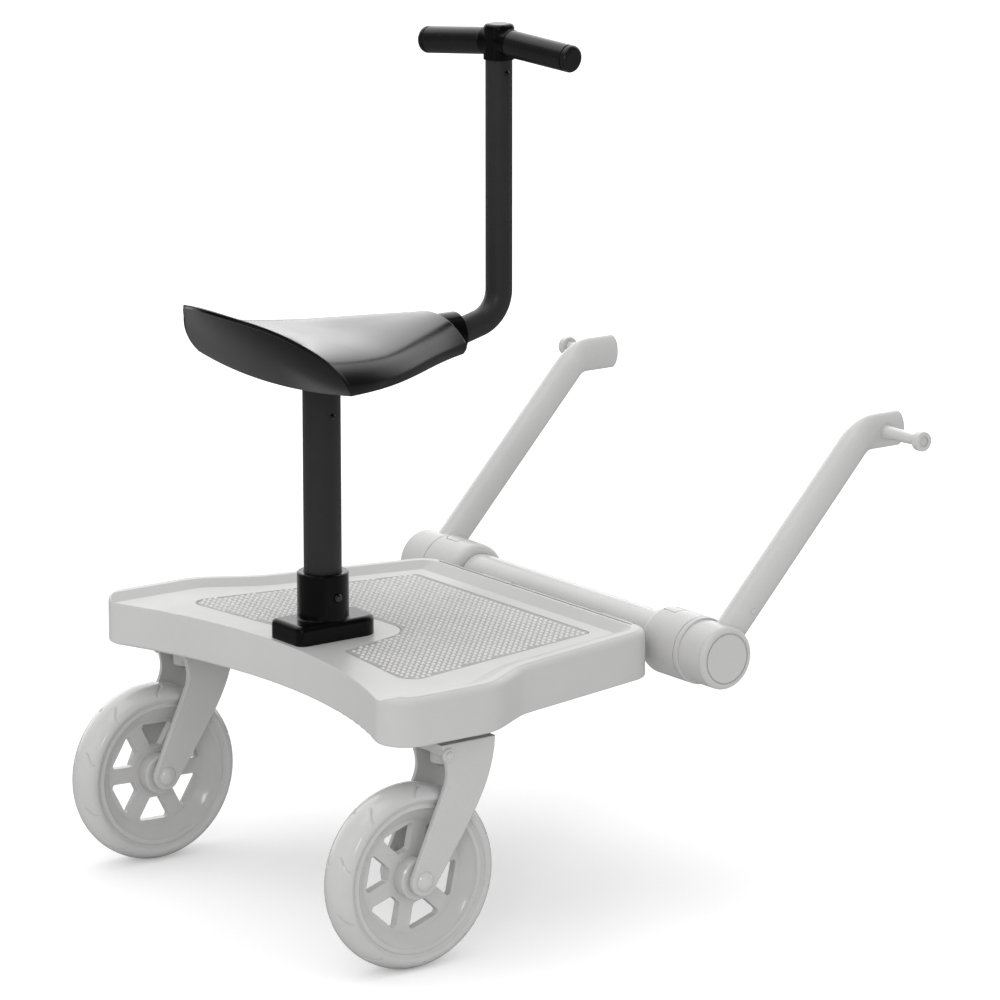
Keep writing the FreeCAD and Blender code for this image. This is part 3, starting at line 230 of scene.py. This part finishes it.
def build_scuff_group():
    tree, given, result = value_group("Fine scuffs", [("Scuff scale", 60.0), ("Stretch", 14.0)], ["Mask"])
    place = node(tree, "ShaderNodeTexCoord").outputs["Object"]
    squeeze = node(tree, "ShaderNodeCombineXYZ", [("X", given["Stretch"]), ("Y", 1.0), ("Z", 1.0)]).outputs[0]
    turn = node(tree, "ShaderNodeMapping", [("Vector", place), ("Rotation", (0.4, 0.7, 0.5)), ("Scale", squeeze)])
    lines = noise(tree, turn.outputs[0], given["Scuff scale"], 3.0, 0.7)
    tree.links.new(remap(tree, lines, 0.66, 0.76), result["Mask"])
    return tree


GRAIN, SCUFFS = build_grain_group(), build_scuff_group()
print("node groups:", GRAIN.name, "and", SCUFFS.name)

# %% [markdown]
# ## How a finish is made
# One function builds every finish from the two groups, with its own tones, polish and grain. Scuffs are laid over
# the tone where a finish asks for them. The board's finish carries painted shade: it is darker on faces that lean
# gently, which sets its rim off from the deck.


# %% Finish maker
def add_scuffs(tree, colour, rough, light, scale, amount):
    """Lay pale, dull scuffs over a colour and a roughness."""
    marks = node(tree, "ShaderNodeGroup", [("Scuff scale", scale)], node_tree=SCUFFS)
    faint = maths(tree, "MULTIPLY", marks.outputs["Mask"], amount)
    worn = tuple(min(1.0, part * 1.6 + 0.02) for part in light[:3]) + (1.0,)
    return mix_colour(tree, faint, colour, worn), maths(tree, "MULTIPLY_ADD", faint, 0.25, rough)


def paint_slope_shade(tree, colour, amount):
    """Paint shade into a colour where a face leans by some 17 degrees, neither level nor steep."""
    normal = node(tree, "ShaderNodeNewGeometry").outputs["True Normal"]
    level = node(tree, "ShaderNodeSeparateXYZ", [(0, normal)]).outputs["Z"]
    painted_shade = maths(tree, "MULTIPLY", remap(tree, level, 0.90, 0.94), remap(tree, level, 0.97, 0.99, amount, 0.0))
    return mix_colour(tree, painted_shade, colour, grey(0.0))


def finish(name, light, dark, polish, grain, depth, mottle=9.0, scuff=None, scuff_amount=0.0, edge=0.6,
           metallic=0.0, specular=0.5, coat=0.0, coat_rough=0.2, painted_slope_shade=0.0):
    """A finish from two tones, a roughness range, a grain size and depth in millimetres, and scuffs."""
    material = bpy.data.materials.new(name)
    material.use_nodes = True
    tree = material.node_tree
    shader = tree.nodes["Principled BSDF"].inputs
    for socket, value in (("Metallic", metallic), ("Specular IOR Level", specular), ("Coat Weight", coat),
                          ("Coat Roughness", coat_rough)):
        shader[socket].default_value = value
    mould = node(tree, "ShaderNodeGroup", [("Grain scale", grain), ("Mottle scale", mottle)], node_tree=GRAIN).outputs
    colour = mix_colour(tree, mould["Shade"], light, dark)
    rough = remap(tree, mould["Polish"], 0.2, 1.0, polish[0], polish[1])
    if scuff:
        colour, rough = add_scuffs(tree, colour, rough, light, scuff, scuff_amount)
    # Painted shade on gently leaning faces, such as the board rim's inner slope.
    if painted_slope_shade:
        colour = paint_slope_shade(tree, colour, painted_slope_shade)
    bump = node(tree, "ShaderNodeBump", [("Strength", 0.35), ("Distance", depth * MM), ("Height", mould["Height"])])
    if edge:
        rounded = node(tree, "ShaderNodeBevel", [("Radius", edge * MM)], samples=4)
        tree.links.new(rounded.outputs[0], bump.inputs["Normal"])
    tree.links.new(colour, shader["Base Color"])
    tree.links.new(rough, shader["Roughness"])
    tree.links.new(bump.outputs[0], shader["Normal"])
    return material


print("the finish maker is ready")

# %% [markdown]
# ## Finishes
# The board, its wheels and its arms are pale satin grey. The saddle, post, handle and grips are black: satin
# gloss on the saddle, powder coat on the tubes, a duller mould on foot and head, soft rubber on the grips.

# %% Materials
PALE_MOULD = finish("pale_mould", grey(0.575, 0.006), grey(0.555, 0.006), (0.24, 0.34), 1400, 0.05,
                    scuff=46, scuff_amount=0.06, edge=1.2, specular=0.35)
# The board's finish paints shade on its rim's gently leaning inner slope.
PALE_BOARD = finish("pale_board", grey(0.575, 0.006), grey(0.555, 0.006), (0.32, 0.42), 1400, 0.05,
                    scuff=46, scuff_amount=0.06, edge=1.6, specular=0.25, painted_slope_shade=0.17)
PALE_TUBE = finish("pale_tube", grey(0.575, 0.006), grey(0.55, 0.006), (0.24, 0.34), 2200, 0.03,
                   scuff=60, scuff_amount=0.06, edge=0.0)
PALE_RIM = finish("pale_rim", grey(0.59, 0.006), grey(0.57, 0.006), (0.12, 0.20), 1500, 0.04, edge=1.0)
PALE_TYRE = finish("pale_tyre", grey(0.59, 0.006), grey(0.56, 0.006), (0.12, 0.22), 1800, 0.05, mottle=22,
                   scuff=90, scuff_amount=0.08, edge=0.0)
PALE_CAP = finish("pale_cap", grey(0.61, 0.006), grey(0.57, 0.006), (0.08, 0.16), 1500, 0.02, mottle=30, edge=0.6,
                  coat=0.6, coat_rough=0.06)
# The mat is one rubber: the base's darker tone is painted shade and the studs' lighter tone a painted highlight.
MAT_BASE_PAINTED_SHADE = finish("mat_base_painted_shade", grey(0.425, 0.006), grey(0.395, 0.006), (0.5, 0.62), 1600, 0.08, mottle=30, edge=0.0)
MAT_STUD_PAINTED_HIGHLIGHT = finish("mat_stud_painted_highlight", grey(0.78, 0.006), grey(0.74, 0.006), (0.30, 0.42), 1600, 0.04, mottle=30, edge=0.0)
BLACK_SADDLE = finish("black_saddle", grey(0.0045), grey(0.0035), (0.20, 0.28), 1700, 0.04, mottle=14,
                      scuff=70, scuff_amount=0.06, edge=1.4, specular=0.5)
BLACK_TUBE = finish("black_tube", grey(0.027), grey(0.023), (0.36, 0.46), 2600, 0.04, mottle=18,
                    scuff=80, scuff_amount=0.04, edge=0.0, specular=0.4)
BLACK_MOULD = finish("black_mould", grey(0.0025), grey(0.002), (0.22, 0.30), 1500, 0.02, mottle=16, edge=1.6,
                     specular=0.2)
BLACK_GRIP = finish("black_grip", grey(0.010), grey(0.007), (0.24, 0.34), 2000, 0.06, mottle=20, edge=0.5,
                    specular=0.4)
DARK_STEEL = finish("dark_steel", grey(0.10), grey(0.06), (0.14, 0.22), 1200, 0.04, edge=0.3, metallic=1.0)
PALE_STEEL = finish("pale_steel", grey(0.66), grey(0.56), (0.20, 0.32), 1200, 0.03, edge=0.4, metallic=1.0)
PALE_BUSH = finish("pale_bush", grey(0.56), grey(0.52), (0.40, 0.50), 1400, 0.04, edge=0.4)
print("finishes:", len(bpy.data.materials))

# %% [markdown]
# ## Finishes on the CAD nodes
# Most solids are right as they are, so they only get their finish. A table says which pieces share one.

# %% Dress the CAD nodes
NODE_FINISH = {
    PALE_BOARD: ["board_shell"],
    PALE_MOULD: ["fork", "slide_collar", "pivot_collar", "collar_cap", "tube_cradle",
                 "release_tongue", "arm_plug"],
    PALE_TUBE: ["cross_tube", "arm_tube"],
    PALE_RIM: ["wheel_rim"], PALE_TYRE: ["tyre"], PALE_BUSH: ["hub_bushes", "swivel_bush"],
    MAT_BASE_PAINTED_SHADE: ["grip_mat"], BLACK_SADDLE: ["saddle_shell"],
    BLACK_TUBE: ["saddle_post", "handle_tube"],
    BLACK_MOULD: ["saddle_foot", "saddle_hub", "handle_collar", "bar_head"],
    BLACK_GRIP: ["grip_left", "grip_right"],
    DARK_STEEL: ["post_rivet", "handle_rivet", "snap_button"],
    PALE_CAP: ["axle_bolt", "axle_nut", "arm_rivet", "coupling_pin"],
    PALE_STEEL: ["foot_screws", "cradle_screws", "swivel_stem", "stem_ring", "collar_ring"],
}


def dress_nodes():
    dressed = 0
    for material, names in NODE_FINISH.items():
        for name in names:
            for node in (name, name + "_left", name + "_right"):
                if node in NODES:
                    slots = NODES[node].data.materials
                    slots.clear()
                    slots.append(material)
                    dressed += 1
    return dressed


print("dressed", dress_nodes(), "of", len(NODES), "nodes")

# %% [markdown]
# ## Measures and helpers for the remade pieces
# The remade pieces use the CAD model's own numbers, in millimetres, with Y counted from the saddle post. One
# helper moves such points into the frame, another turns a mesh into a finished piece: it sets the material and
# the shading, says which body the piece rides on and which CAD solid it stands for.

# %% Helpers
POST_BEHIND_MIDDLE = 185.104
DECK_Z, SADDLE_Z, AXLE_Y, AXLE_Z, TRACK_HALF = 253.0, 505.0, -53.5, 85.0, 209.0


def framed(points):
    """Millimetres counted from the post, as metres in the frame."""
    points = np.asarray(points, dtype=float)
    return (points - (0.0, POST_BEHIND_MIDDLE, 0.0)) * MM


def grid_faces(rows, columns, loop=False):
    """Quads of a grid of points stored row by row; a loop joins the last row to the first."""
    faces = []
    for i in range(rows if loop else rows - 1):
        for j in range(columns - 1):
            a, b = i * columns + j, ((i + 1) % rows) * columns + j
            faces.append((a, a + 1, b + 1, b))
    return faces


def new_object(name, points, faces):
    mesh = bpy.data.meshes.new(name)
    mesh.from_pydata([tuple(p) for p in points], [], faces)
    thing = bpy.data.objects.new(name, mesh)
    bpy.context.scene.collection.objects.link(thing)
    return thing


def tidy_mesh(mesh, distance=0.02):
    """Merge doubled points and turn the faces outwards."""
    work = bmesh.new()
    work.from_mesh(mesh)
    bmesh.ops.remove_doubles(work, verts=work.verts, dist=distance * MM)
    bmesh.ops.dissolve_degenerate(work, edges=work.edges, dist=0.001 * MM)
    bmesh.ops.recalc_face_normals(work, faces=work.faces)
    work.to_mesh(mesh)
    work.free()


def close_ends(mesh):
    """Fill the open ends of a turned or swept shape."""
    work = bmesh.new()
    work.from_mesh(mesh)
    bmesh.ops.holes_fill(work, edges=[e for e in work.edges if e.is_boundary], sides=0)
    bmesh.ops.recalc_face_normals(work, faces=work.faces)
    work.to_mesh(mesh)
    work.free()


def baked(thing):
    """Turn the modifiers' result into a plain mesh and drop the modifiers."""
    graph = bpy.context.evaluated_depsgraph_get()
    mesh = bpy.data.meshes.new_from_object(thing.evaluated_get(graph))
    thing.modifiers.clear()
    thing.data = mesh


def soften(mesh, angle):
    mesh.shade_smooth()
    mesh.set_sharp_from_angle(angle=math.radians(angle))


def settle(thing, body, stands_for, material=None, angle=35.0):
    """Finish a piece: material, shading, the body it rides on and the solids it stands for."""
    if material:
        thing.data.materials.clear()
        thing.data.materials.append(material)
    soften(thing.data, angle)
    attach(thing, body)
    if stands_for:
        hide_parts(*stands_for)
    thing.data.calc_loop_triangles()
    print(thing.name, "rides on", body + ":", len(thing.data.loop_triangles), "triangles")


def set_input(modifier, label, value):
    """Set a node tree's named input on its modifier, by the socket's identifier."""
    for item in modifier.node_group.interface.items_tree:
        if item.item_type == "SOCKET" and item.in_out == "INPUT" and item.name == label:
            modifier[item.identifier] = value


print("post stands", POST_BEHIND_MIDDLE, "mm behind the frame's middle")

# %% [markdown]
# ## Saddle skin
# The saddle is one moulded skin, wide and dished at the back, running out to a narrow nose, with a rear edge
# that sweeps up to a lip and a wall that falls away below it. Cross-sections along its length give its form:
# each is a rounded arch, listed with its place, half width, height, two fullness powers and the lean of its flank.
# The arches are blended by a natural spline, cut at the leaning rear wall and at the raked nose, and the skin is
# then given its thickness; its finish softens the edges.

# %% Saddle
SADDLE_ARCHES = np.array([
    (-155.0, 133.8, 83.5, 0.30, 0.55, 0.0), (-131.0, 133.8, 69.5, 0.34, 0.55, 0.0),
    (-111.0, 133.2, 61.3, 0.38, 0.58, 0.0), (-91.0, 132.4, 52.3, 0.42, 0.62, 0.05),
    (-73.0, 131.2, 44.5, 0.46, 0.58, 0.12), (-63.0, 129.5, 41.7, 0.48, 0.54, 0.18),
    (-20.0, 120.3, 36.0, 0.56, 0.46, 0.38), (15.0, 106.0, 34.0, 0.60, 0.45, 0.42),
    (50.0, 86.0, 35.0, 0.66, 0.52, 0.34), (88.0, 62.0, 36.0, 0.76, 0.70, 0.14),
    (122.0, 43.0, 36.0, 0.88, 0.88, 0.03), (151.0, 30.0, 36.0, 0.95, 0.95, 0.0)])
LIP_HEIGHT, LIP_BACK, LIP_LOW, BULGE_LOW, BULGE_HIGH, SADDLE_HALF = 68.0, 128.0, 65.0, 13.0, 60.0, 124.0
EDGE_TUCK, TUCK_HEIGHT, NOSE_ROUND, NOSE_ROUND_HEIGHT, REAR_DIP = 4.5, 12.0, 7.0, 9.1, 7.0
SADDLE_NOSE, NOSE_RAKE, SADDLE_DEPTH, SADDLE_WALL = 143.0, 20.0, 36.0, 3.0


def natural_spline(xs, ys, at):
    """Natural cubic spline through the columns of ys, read at many places."""
    count = len(xs)
    gap = np.diff(xs)
    system = np.eye(count)
    right = np.zeros((count, ys.shape[1]))
    for i in range(1, count - 1):
        system[i, i - 1:i + 2] = gap[i - 1], 2 * (gap[i - 1] + gap[i]), gap[i]
        right[i] = 6 * ((ys[i + 1] - ys[i]) / gap[i] - (ys[i] - ys[i - 1]) / gap[i - 1])
    bend = np.linalg.solve(system, right)
    spot = np.clip(np.searchsorted(xs, at) - 1, 0, count - 2)
    h, left, after = gap[spot][:, None], (at - xs[spot])[:, None], (xs[spot + 1] - at)[:, None]
    return ((bend[spot] * after ** 3 + bend[spot + 1] * left ** 3) / (6 * h)
            + (ys[spot] / h - bend[spot] * h / 6) * after + (ys[spot + 1] / h - bend[spot + 1] * h / 6) * left)


def saddle_table(columns, steps=320):
    """Arches at many places along Y, each walked in even steps from edge to edge."""
    along = np.linspace(SADDLE_ARCHES[0, 0], SADDLE_ARCHES[-1, 0], steps)
    sizes = natural_spline(SADDLE_ARCHES[:, 0], SADDLE_ARCHES[:, 1:], along)
    turn = np.radians(np.linspace(-90.0, 90.0, 721))
    across = np.zeros((steps, columns))
    up = np.zeros((steps, columns))
    for i, (half, top, wide, full, lean) in enumerate(sizes):
        z = top * np.maximum(np.cos(turn), 0.0) ** full
        tucked = half - EDGE_TUCK * np.maximum(0.0, 1.0 - z / TUCK_HEIGHT) ** 2 - lean * z
        x = tucked * np.sign(turn) * np.abs(np.sin(turn)) ** wide
        walk = np.concatenate([[0.0], np.cumsum(np.hypot(np.diff(x), np.diff(z)))])
        even = np.linspace(0.0, walk[-1], columns)
        across[i], up[i] = np.interp(even, walk, x), np.interp(even, walk, z)
    return along, across, up


def rear_wall(x, height):
    """Y of the leaning, bowed rear wall at a place across and a height over the lower edge."""
    lean = (LIP_BACK - LIP_LOW) / LIP_HEIGHT
    bow = BULGE_LOW + (BULGE_HIGH - BULGE_LOW) * np.maximum(0.0, height / LIP_HEIGHT) ** 1.8
    return -LIP_LOW - lean * height + bow * (x / SADDLE_HALF) ** 2


def first_crossing(along, signed):
    """Place along Y where a falling-behind value first turns positive."""
    i = int(np.argmax(signed > 0))
    if i == 0:
        return along[0]
    share = signed[i - 1] / (signed[i - 1] - signed[i])
    return along[i - 1] + share * (along[i] - along[i - 1])


def saddle_points(columns=97, rows=110, wall_rows=26):
    along, across, up = saddle_table(columns)
    spread = np.linspace(0.0, 1.0, rows) ** 1.25
    skin = np.zeros((rows, columns, 3))
    wall = np.zeros((wall_rows, columns, 3))
    for j in range(columns):
        x, h = across[:, j], up[:, j]
        start = first_crossing(along, along - rear_wall(x, h))
        rolled = NOSE_ROUND * np.maximum(0.0, 1.0 - h / NOSE_ROUND_HEIGHT) ** 2
        end = first_crossing(along, along - (SADDLE_NOSE - NOSE_RAKE * h / SADDLE_DEPTH - rolled))
        y = start + (end - start) * spread
        skin[:, j] = np.stack([np.interp(y, along, x), y, np.interp(y, along, h)], axis=1)
    fall = np.linspace(0.0, 1.0, wall_rows)
    foot_x = np.linspace(skin[0, 0, 0], skin[0, -1, 0], columns)
    for j in range(columns):
        dip = REAR_DIP * max(0.0, 1.0 - (foot_x[j] / foot_x[0]) ** 2)
        reach = skin[0, j, 0] + (foot_x[j] - skin[0, j, 0]) * fall
        heights = skin[0, j, 2] - (skin[0, j, 2] + dip) * fall
        wall[:, j] = np.stack([reach, rear_wall(reach, heights), heights], axis=1)
    wall[0] = skin[0]
    return skin, wall


def make_saddle():
    skin, wall = saddle_points()
    rows, columns, _ = skin.shape
    points = np.concatenate([skin.reshape(-1, 3), wall.reshape(-1, 3)]) + (0.0, 0.0, SADDLE_Z)
    shift = rows * columns
    faces = grid_faces(rows, columns)
    faces += [tuple(i + shift for i in reversed(face)) for face in grid_faces(wall.shape[0], columns)]
    saddle = new_object("saddle_skin", framed(points), faces)
    tidy_mesh(saddle.data, 0.05)
    work = bmesh.new()
    work.from_mesh(saddle.data)
    work.faces.ensure_lookup_table()
    top = max(work.faces, key=lambda f: f.normal.z * (abs(f.calc_center_median().x) < 0.05))
    if top.normal.z < 0:
        bmesh.ops.reverse_faces(work, faces=work.faces)
    work.to_mesh(saddle.data)
    work.free()
    thick = saddle.modifiers.new("wall", "SOLIDIFY")
    thick.thickness, thick.offset = SADDLE_WALL * MM, -1.0
    baked(saddle)
    settle(saddle, "board", ["saddle_shell"], BLACK_SADDLE, 40.0)


make_saddle()

# %% [markdown]
# ## Grip mat
# A soft mat lies in the deck's recess, round a keyhole mouth for the saddle foot. Its top is covered with small
# raised studs in straight rows. The mat is one rubber, but its studs get a lighter copy of its finish as a painted
# highlight and the mat under them a darker copy as painted shade. The mat is an outline with rounded corners,
# raised and softened; a node tree lays a grid over it, keeps the places that lie over the inset outline and sets a
# stud on each.

# %% Grip mat
MAT_CORNERS = [(58.0, -17.0, 7.0), (181.0, -33.0, 16.0), (138.0, 204.0, 7.0)]
MAT_NECK = (35.0, 73.0, 33.6)
MAT_FLOOR, MAT_TOP, MAT_GAP, STUD_INSET = DECK_Z - 1.15, DECK_Z - 0.1, 0.9, 2.6


def corner_arc(before, corner, after, steps):
    """Points of the arc that rounds an (x, y, radius) corner between its two neighbours."""
    here, radius = np.array(corner[:2]), corner[2]
    before, after = np.array(before[:2]) - here, np.array(after[:2]) - here
    before, after = before / np.linalg.norm(before), after / np.linalg.norm(after)
    half = math.acos(max(-1.0, min(1.0, float(before @ after)))) / 2
    centre = here + (before + after) / np.linalg.norm(before + after) * radius / math.sin(half)
    first, last = here + before * radius / math.tan(half), here + after * radius / math.tan(half)
    chord = first + (last - first) * np.linspace(0.0, 1.0, steps + 1)[:, None] - centre
    return centre + chord / np.linalg.norm(chord, axis=1)[:, None] * radius


def rounded_outline(corners, steps=10):
    """Closed outline through (x, y, radius) corners, each corner walked as an arc."""
    count = len(corners)
    return np.concatenate([corner_arc(corners[i - 1], corners[i], corners[(i + 1) % count], steps)
                           for i in range(count)])


def mat_outline(shrink):
    right = [(MAT_CORNERS[0][0] + shrink, MAT_CORNERS[0][1] + shrink, MAT_CORNERS[0][2]),
             (MAT_CORNERS[1][0] - shrink * 1.2, MAT_CORNERS[1][1] + shrink, MAT_CORNERS[1][2] - shrink),
             (MAT_CORNERS[2][0] - shrink, MAT_CORNERS[2][1] - shrink, MAT_CORNERS[2][2] - shrink)]
    left = [(-x, y, r) for x, y, r in reversed(right)]
    neck = MAT_NECK[0] + shrink
    tip = [(-neck, MAT_NECK[1] + shrink, neck * 0.96), (neck, MAT_NECK[1] + shrink, neck * 0.96)]
    return rounded_outline(right + left + tip)


def make_mat():
    outline = mat_outline(MAT_GAP)
    count = len(outline)
    low = np.column_stack([outline, np.full(count, MAT_FLOOR)])
    high = np.column_stack([outline, np.full(count, MAT_TOP)])
    faces = [tuple(range(count, 2 * count)), tuple(reversed(range(count)))]
    faces += [(i, (i + 1) % count, count + (i + 1) % count, count + i) for i in range(count)]
    mat = new_object("grip_mat_base", framed(np.concatenate([low, high])), faces)
    tidy_mesh(mat.data)
    edge = mat.modifiers.new("soft edges", "BEVEL")
    edge.width, edge.segments, edge.limit_method, edge.angle_limit = 0.4 * MM, 2, "ANGLE", math.radians(50)
    baked(mat)
    # The mat's base takes the darker copy of its rubber, painted shade between the studs.
    settle(mat, "board", ["grip_mat"], MAT_BASE_PAINTED_SHADE)


def tree_inputs(name, sizes):
    """An empty node tree with a geometry in and out and named sizes."""
    tree = bpy.data.node_groups.new(name, "GeometryNodeTree")
    tree.interface.new_socket(name="Geometry", in_out="INPUT", socket_type="NodeSocketGeometry")
    for label, kind, value in sizes:
        tree.interface.new_socket(name=label, in_out="INPUT", socket_type=kind).default_value = value
    tree.interface.new_socket(name="Geometry", in_out="OUTPUT", socket_type="NodeSocketGeometry")
    return tree, tree.nodes.new("NodeGroupInput").outputs, tree.nodes.new("NodeGroupOutput").inputs


def build_stud_tree():
    sizes = [("Pitch across", "NodeSocketFloat", 0.00717), ("Pitch along", "NodeSocketFloat", 0.00645),
             ("Stud radius", "NodeSocketFloat", 0.0020), ("Stud height", "NodeSocketFloat", 0.0012),
             ("Rows", "NodeSocketInt", 61),
             ("Middle", "NodeSocketVector", (0.0, 0.0, 0.0)), ("Material", "NodeSocketMaterial", None)]
    tree, given, result = tree_inputs("Studs on an outline", sizes)
    gaps = maths(tree, "SUBTRACT", given["Rows"], 1.0)
    wide, deep = (maths(tree, "MULTIPLY", given[pitch], gaps) for pitch in ("Pitch across", "Pitch along"))
    field = node(tree, "GeometryNodeMeshGrid", [("Size X", wide), ("Size Y", deep),
                                                ("Vertices X", given["Rows"]), ("Vertices Y", given["Rows"])])
    placed = node(tree, "GeometryNodeTransform", [("Geometry", field.outputs[0]), ("Translation", given["Middle"])])
    over = node(tree, "GeometryNodeRaycast", [("Target Geometry", given["Geometry"]),
                                              ("Ray Direction", (0.0, 0.0, -1.0)), ("Ray Length", 0.01)])
    tip = maths(tree, "MULTIPLY", given["Stud radius"], 0.5)
    stud = node(tree, "GeometryNodeMeshCone", [("Vertices", 12), ("Radius Top", tip),
                                               ("Radius Bottom", given["Stud radius"]),
                                               ("Depth", given["Stud height"])])
    spread = node(tree, "GeometryNodeInstanceOnPoints", [("Points", placed.outputs[0]),
                                                         ("Selection", over.outputs["Is Hit"]),
                                                         ("Instance", stud.outputs[0])])
    solid = node(tree, "GeometryNodeRealizeInstances", [("Geometry", spread.outputs[0])])
    dressed = node(tree, "GeometryNodeSetMaterial", [("Geometry", solid.outputs[0]), ("Material", given["Material"])])
    tree.links.new(dressed.outputs[0], result["Geometry"])
    return tree


def make_studs():
    outline = mat_outline(STUD_INSET)
    flat = np.column_stack([outline, np.full(len(outline), MAT_TOP - 0.05)])
    studs = new_object("grip_mat_studs", framed(flat), [tuple(range(len(flat)))])
    tidy_mesh(studs.data)
    nodes = studs.modifiers.new("studs", "NODES")
    nodes.node_group = build_stud_tree()
    set_input(nodes, "Middle", tuple(framed((0.0, 86.0, MAT_TOP))))
    # The studs take the lighter copy of the mat's rubber, a painted highlight on their tops.
    set_input(nodes, "Material", MAT_STUD_PAINTED_HIGHLIGHT)
    baked(studs)
    settle(studs, "board", [], None, 60.0)


make_mat()
make_studs()

# %% [markdown]
# ## Handle tube
# The handle's tube leaves its collar with a slight rise before it bends up to the bar. Its middle line runs
# straight between rounded corners, and a ring of points is carried along it.

# %% Handle tube
HANDLE_RADIUS = 12.5
HANDLE_LINE = [(111.0, 517.5, 0.0), (152.0, 517.5, 40.0), (200.0, 530.0, 31.0), (200.0, 768.0, 0.0)]


def make_handle(turns=48):
    arcs = [corner_arc(HANDLE_LINE[i - 1], HANDLE_LINE[i], HANDLE_LINE[i + 1], 24) for i in (1, 2)]
    line = np.concatenate([[HANDLE_LINE[0][:2]], *arcs, [HANDLE_LINE[-1][:2]]])
    way = np.concatenate([[line[1] - line[0]], line[2:] - line[:-2], [line[-1] - line[-2]]])
    way /= np.linalg.norm(way, axis=1)[:, None]
    way[1], way[-2] = way[0], way[-1]
    angle = np.linspace(0.0, 2 * math.pi, turns, endpoint=False)[:, None]
    out = HANDLE_RADIUS * np.sin(angle)
    points = np.stack([np.broadcast_to(HANDLE_RADIUS * np.cos(angle), (turns, len(line))),
                       line[:, 0] - out * way[:, 1], line[:, 1] + out * way[:, 0]], axis=2)
    tube = new_object("handle_bent_tube", framed(points.reshape(-1, 3)), grid_faces(turns, len(line), True))
    tidy_mesh(tube.data)
    close_ends(tube.data)
    settle(tube, "board", ["handle_tube"], BLACK_TUBE, 40.0)


make_handle()

# %% [markdown]
# ## Tyres
# Each tyre is a solid ring of soft plastic with a crowned tread, a rounded shoulder and a low bead ring on its
# side. Fine curved sipes run over its shoulders. A profile is turned about the axle, and the sipes press the
# points of the shoulder inwards along their curved lines.

# %% Tyres
TYRE_PROFILE = [(-15.4, 69.05), (-16.4, 71.2), (-17.9, 71.9), (-18.4, 73.0), (-19.0, 74.0), (-18.95, 75.2),
                (-18.5, 76.8), (-17.2, 78.8), (-15.0, 80.7), (-12.0, 82.5), (-8.0, 84.0), (-4.0, 84.8), (0.0, 85.0)]
TYRE_RADIUS, TYRE_SEAT, TYRE_HALF = 85.0, 69.05, 19.0
SIPES, SIPE_WIDTH, SIPE_DEPTH, SIPE_SWEEP, SIPE_WAVE = 10, 1.5, 1.4, 3.5, 5.0
SIPE_LOW, SIPE_LOW_FADE, CROWN_HALF, CROWN_FADE = 76.0, 2.5, 5.0, 3.0


def tyre_line():
    side = np.array(TYRE_PROFILE)
    line = np.concatenate([side, side[-2::-1] * (-1.0, 1.0)])
    walk = np.concatenate([[0.0], np.cumsum(np.hypot(*np.diff(line, axis=0).T))])
    even = np.linspace(0.0, walk[-1], 57)
    return natural_spline(walk, line, even)


def make_tyre(side, name):
    line = tyre_line()
    turns = 900
    angle = np.linspace(0.0, 2 * math.pi, turns, endpoint=False)[:, None]
    along, radius = line[None, :, 0], line[None, :, 1]
    sweep = np.radians(SIPE_SWEEP) * np.sin(np.abs(along) / TYRE_HALF * SIPE_WAVE) * np.sign(along)
    phase = (angle - sweep) * SIPES / (2 * math.pi)
    off = np.abs(phase - np.round(phase)) * 2 * math.pi / SIPES * TYRE_RADIUS
    shoulder = (np.clip((radius - SIPE_LOW) / SIPE_LOW_FADE, 0.0, 1.0)
                * np.clip((np.abs(along) - CROWN_HALF) / CROWN_FADE, 0.0, 1.0))
    cut = np.clip(1.0 - off / SIPE_WIDTH, 0.0, 1.0) * shoulder
    reach = radius - SIPE_DEPTH * np.minimum(1.0, 1.6 * cut)
    x = np.broadcast_to(along, reach.shape) + side * TRACK_HALF
    points = np.stack([x, AXLE_Y + reach * np.sin(angle), AXLE_Z + reach * np.cos(angle)], axis=2)
    tyre = new_object("tyre_ring_" + name, framed(points.reshape(-1, 3)), grid_faces(turns, line.shape[0], True))
    work = bmesh.new()
    work.from_mesh(tyre.data)
    seat = AXLE_Y + TYRE_SEAT * np.sin(angle[:, 0]), AXLE_Z + TYRE_SEAT * np.cos(angle[:, 0])
    inner = [[work.verts.new(tuple(framed((x[0, j], y, z)))) for y, z in zip(*seat)] for j in (0, -1)]
    for i in range(turns):
        work.faces.new((inner[0][i], inner[0][(i + 1) % turns], inner[1][(i + 1) % turns], inner[1][i]))
    work.to_mesh(tyre.data)
    work.free()
    tidy_mesh(tyre.data)
    settle(tyre, "wheel_" + name, ["tyre_" + name], PALE_TYRE, 50.0)


for tyre_side, tyre_name in ((-1, "left"), (1, "right")):
    make_tyre(tyre_side, tyre_name)

# %% [markdown]
# ## Fork studs
# A domed stud on a low round pad sits near the top of each fork's outer cheek. Its profile, from the pad's foot
# to the crown of the dome, is turned about an axis across the wheel.

# %% Fork studs
STUD_PLACE, CHEEK_X = (-28.0, 197.0), 234.75
STUD_PROFILE = [(0.0, 6.6), (1.0, 6.5), (1.5, 6.0), (1.6, 3.9), (2.4, 3.8), (3.2, 3.1), (3.7, 1.9), (3.95, 0.0)]


def make_fork_stud(side, name, turns=40):
    out, radius = np.array(STUD_PROFILE).T
    angle = np.linspace(0.0, 2 * math.pi, turns, endpoint=False)[:, None]
    x = np.broadcast_to(side * (CHEEK_X + out), (turns, len(out)))
    points = np.stack([x, STUD_PLACE[0] + radius * np.sin(angle), STUD_PLACE[1] + radius * np.cos(angle)], axis=2)
    stud = new_object("fork_stud_" + name, framed(points.reshape(-1, 3)), grid_faces(turns, len(out), True))
    tidy_mesh(stud.data)
    close_ends(stud.data)
    settle(stud, "caster_" + name, [], PALE_CAP, 40.0)


for stud_side, stud_name in ((-1, "left"), (1, "right")):
    make_fork_stud(stud_side, stud_name)
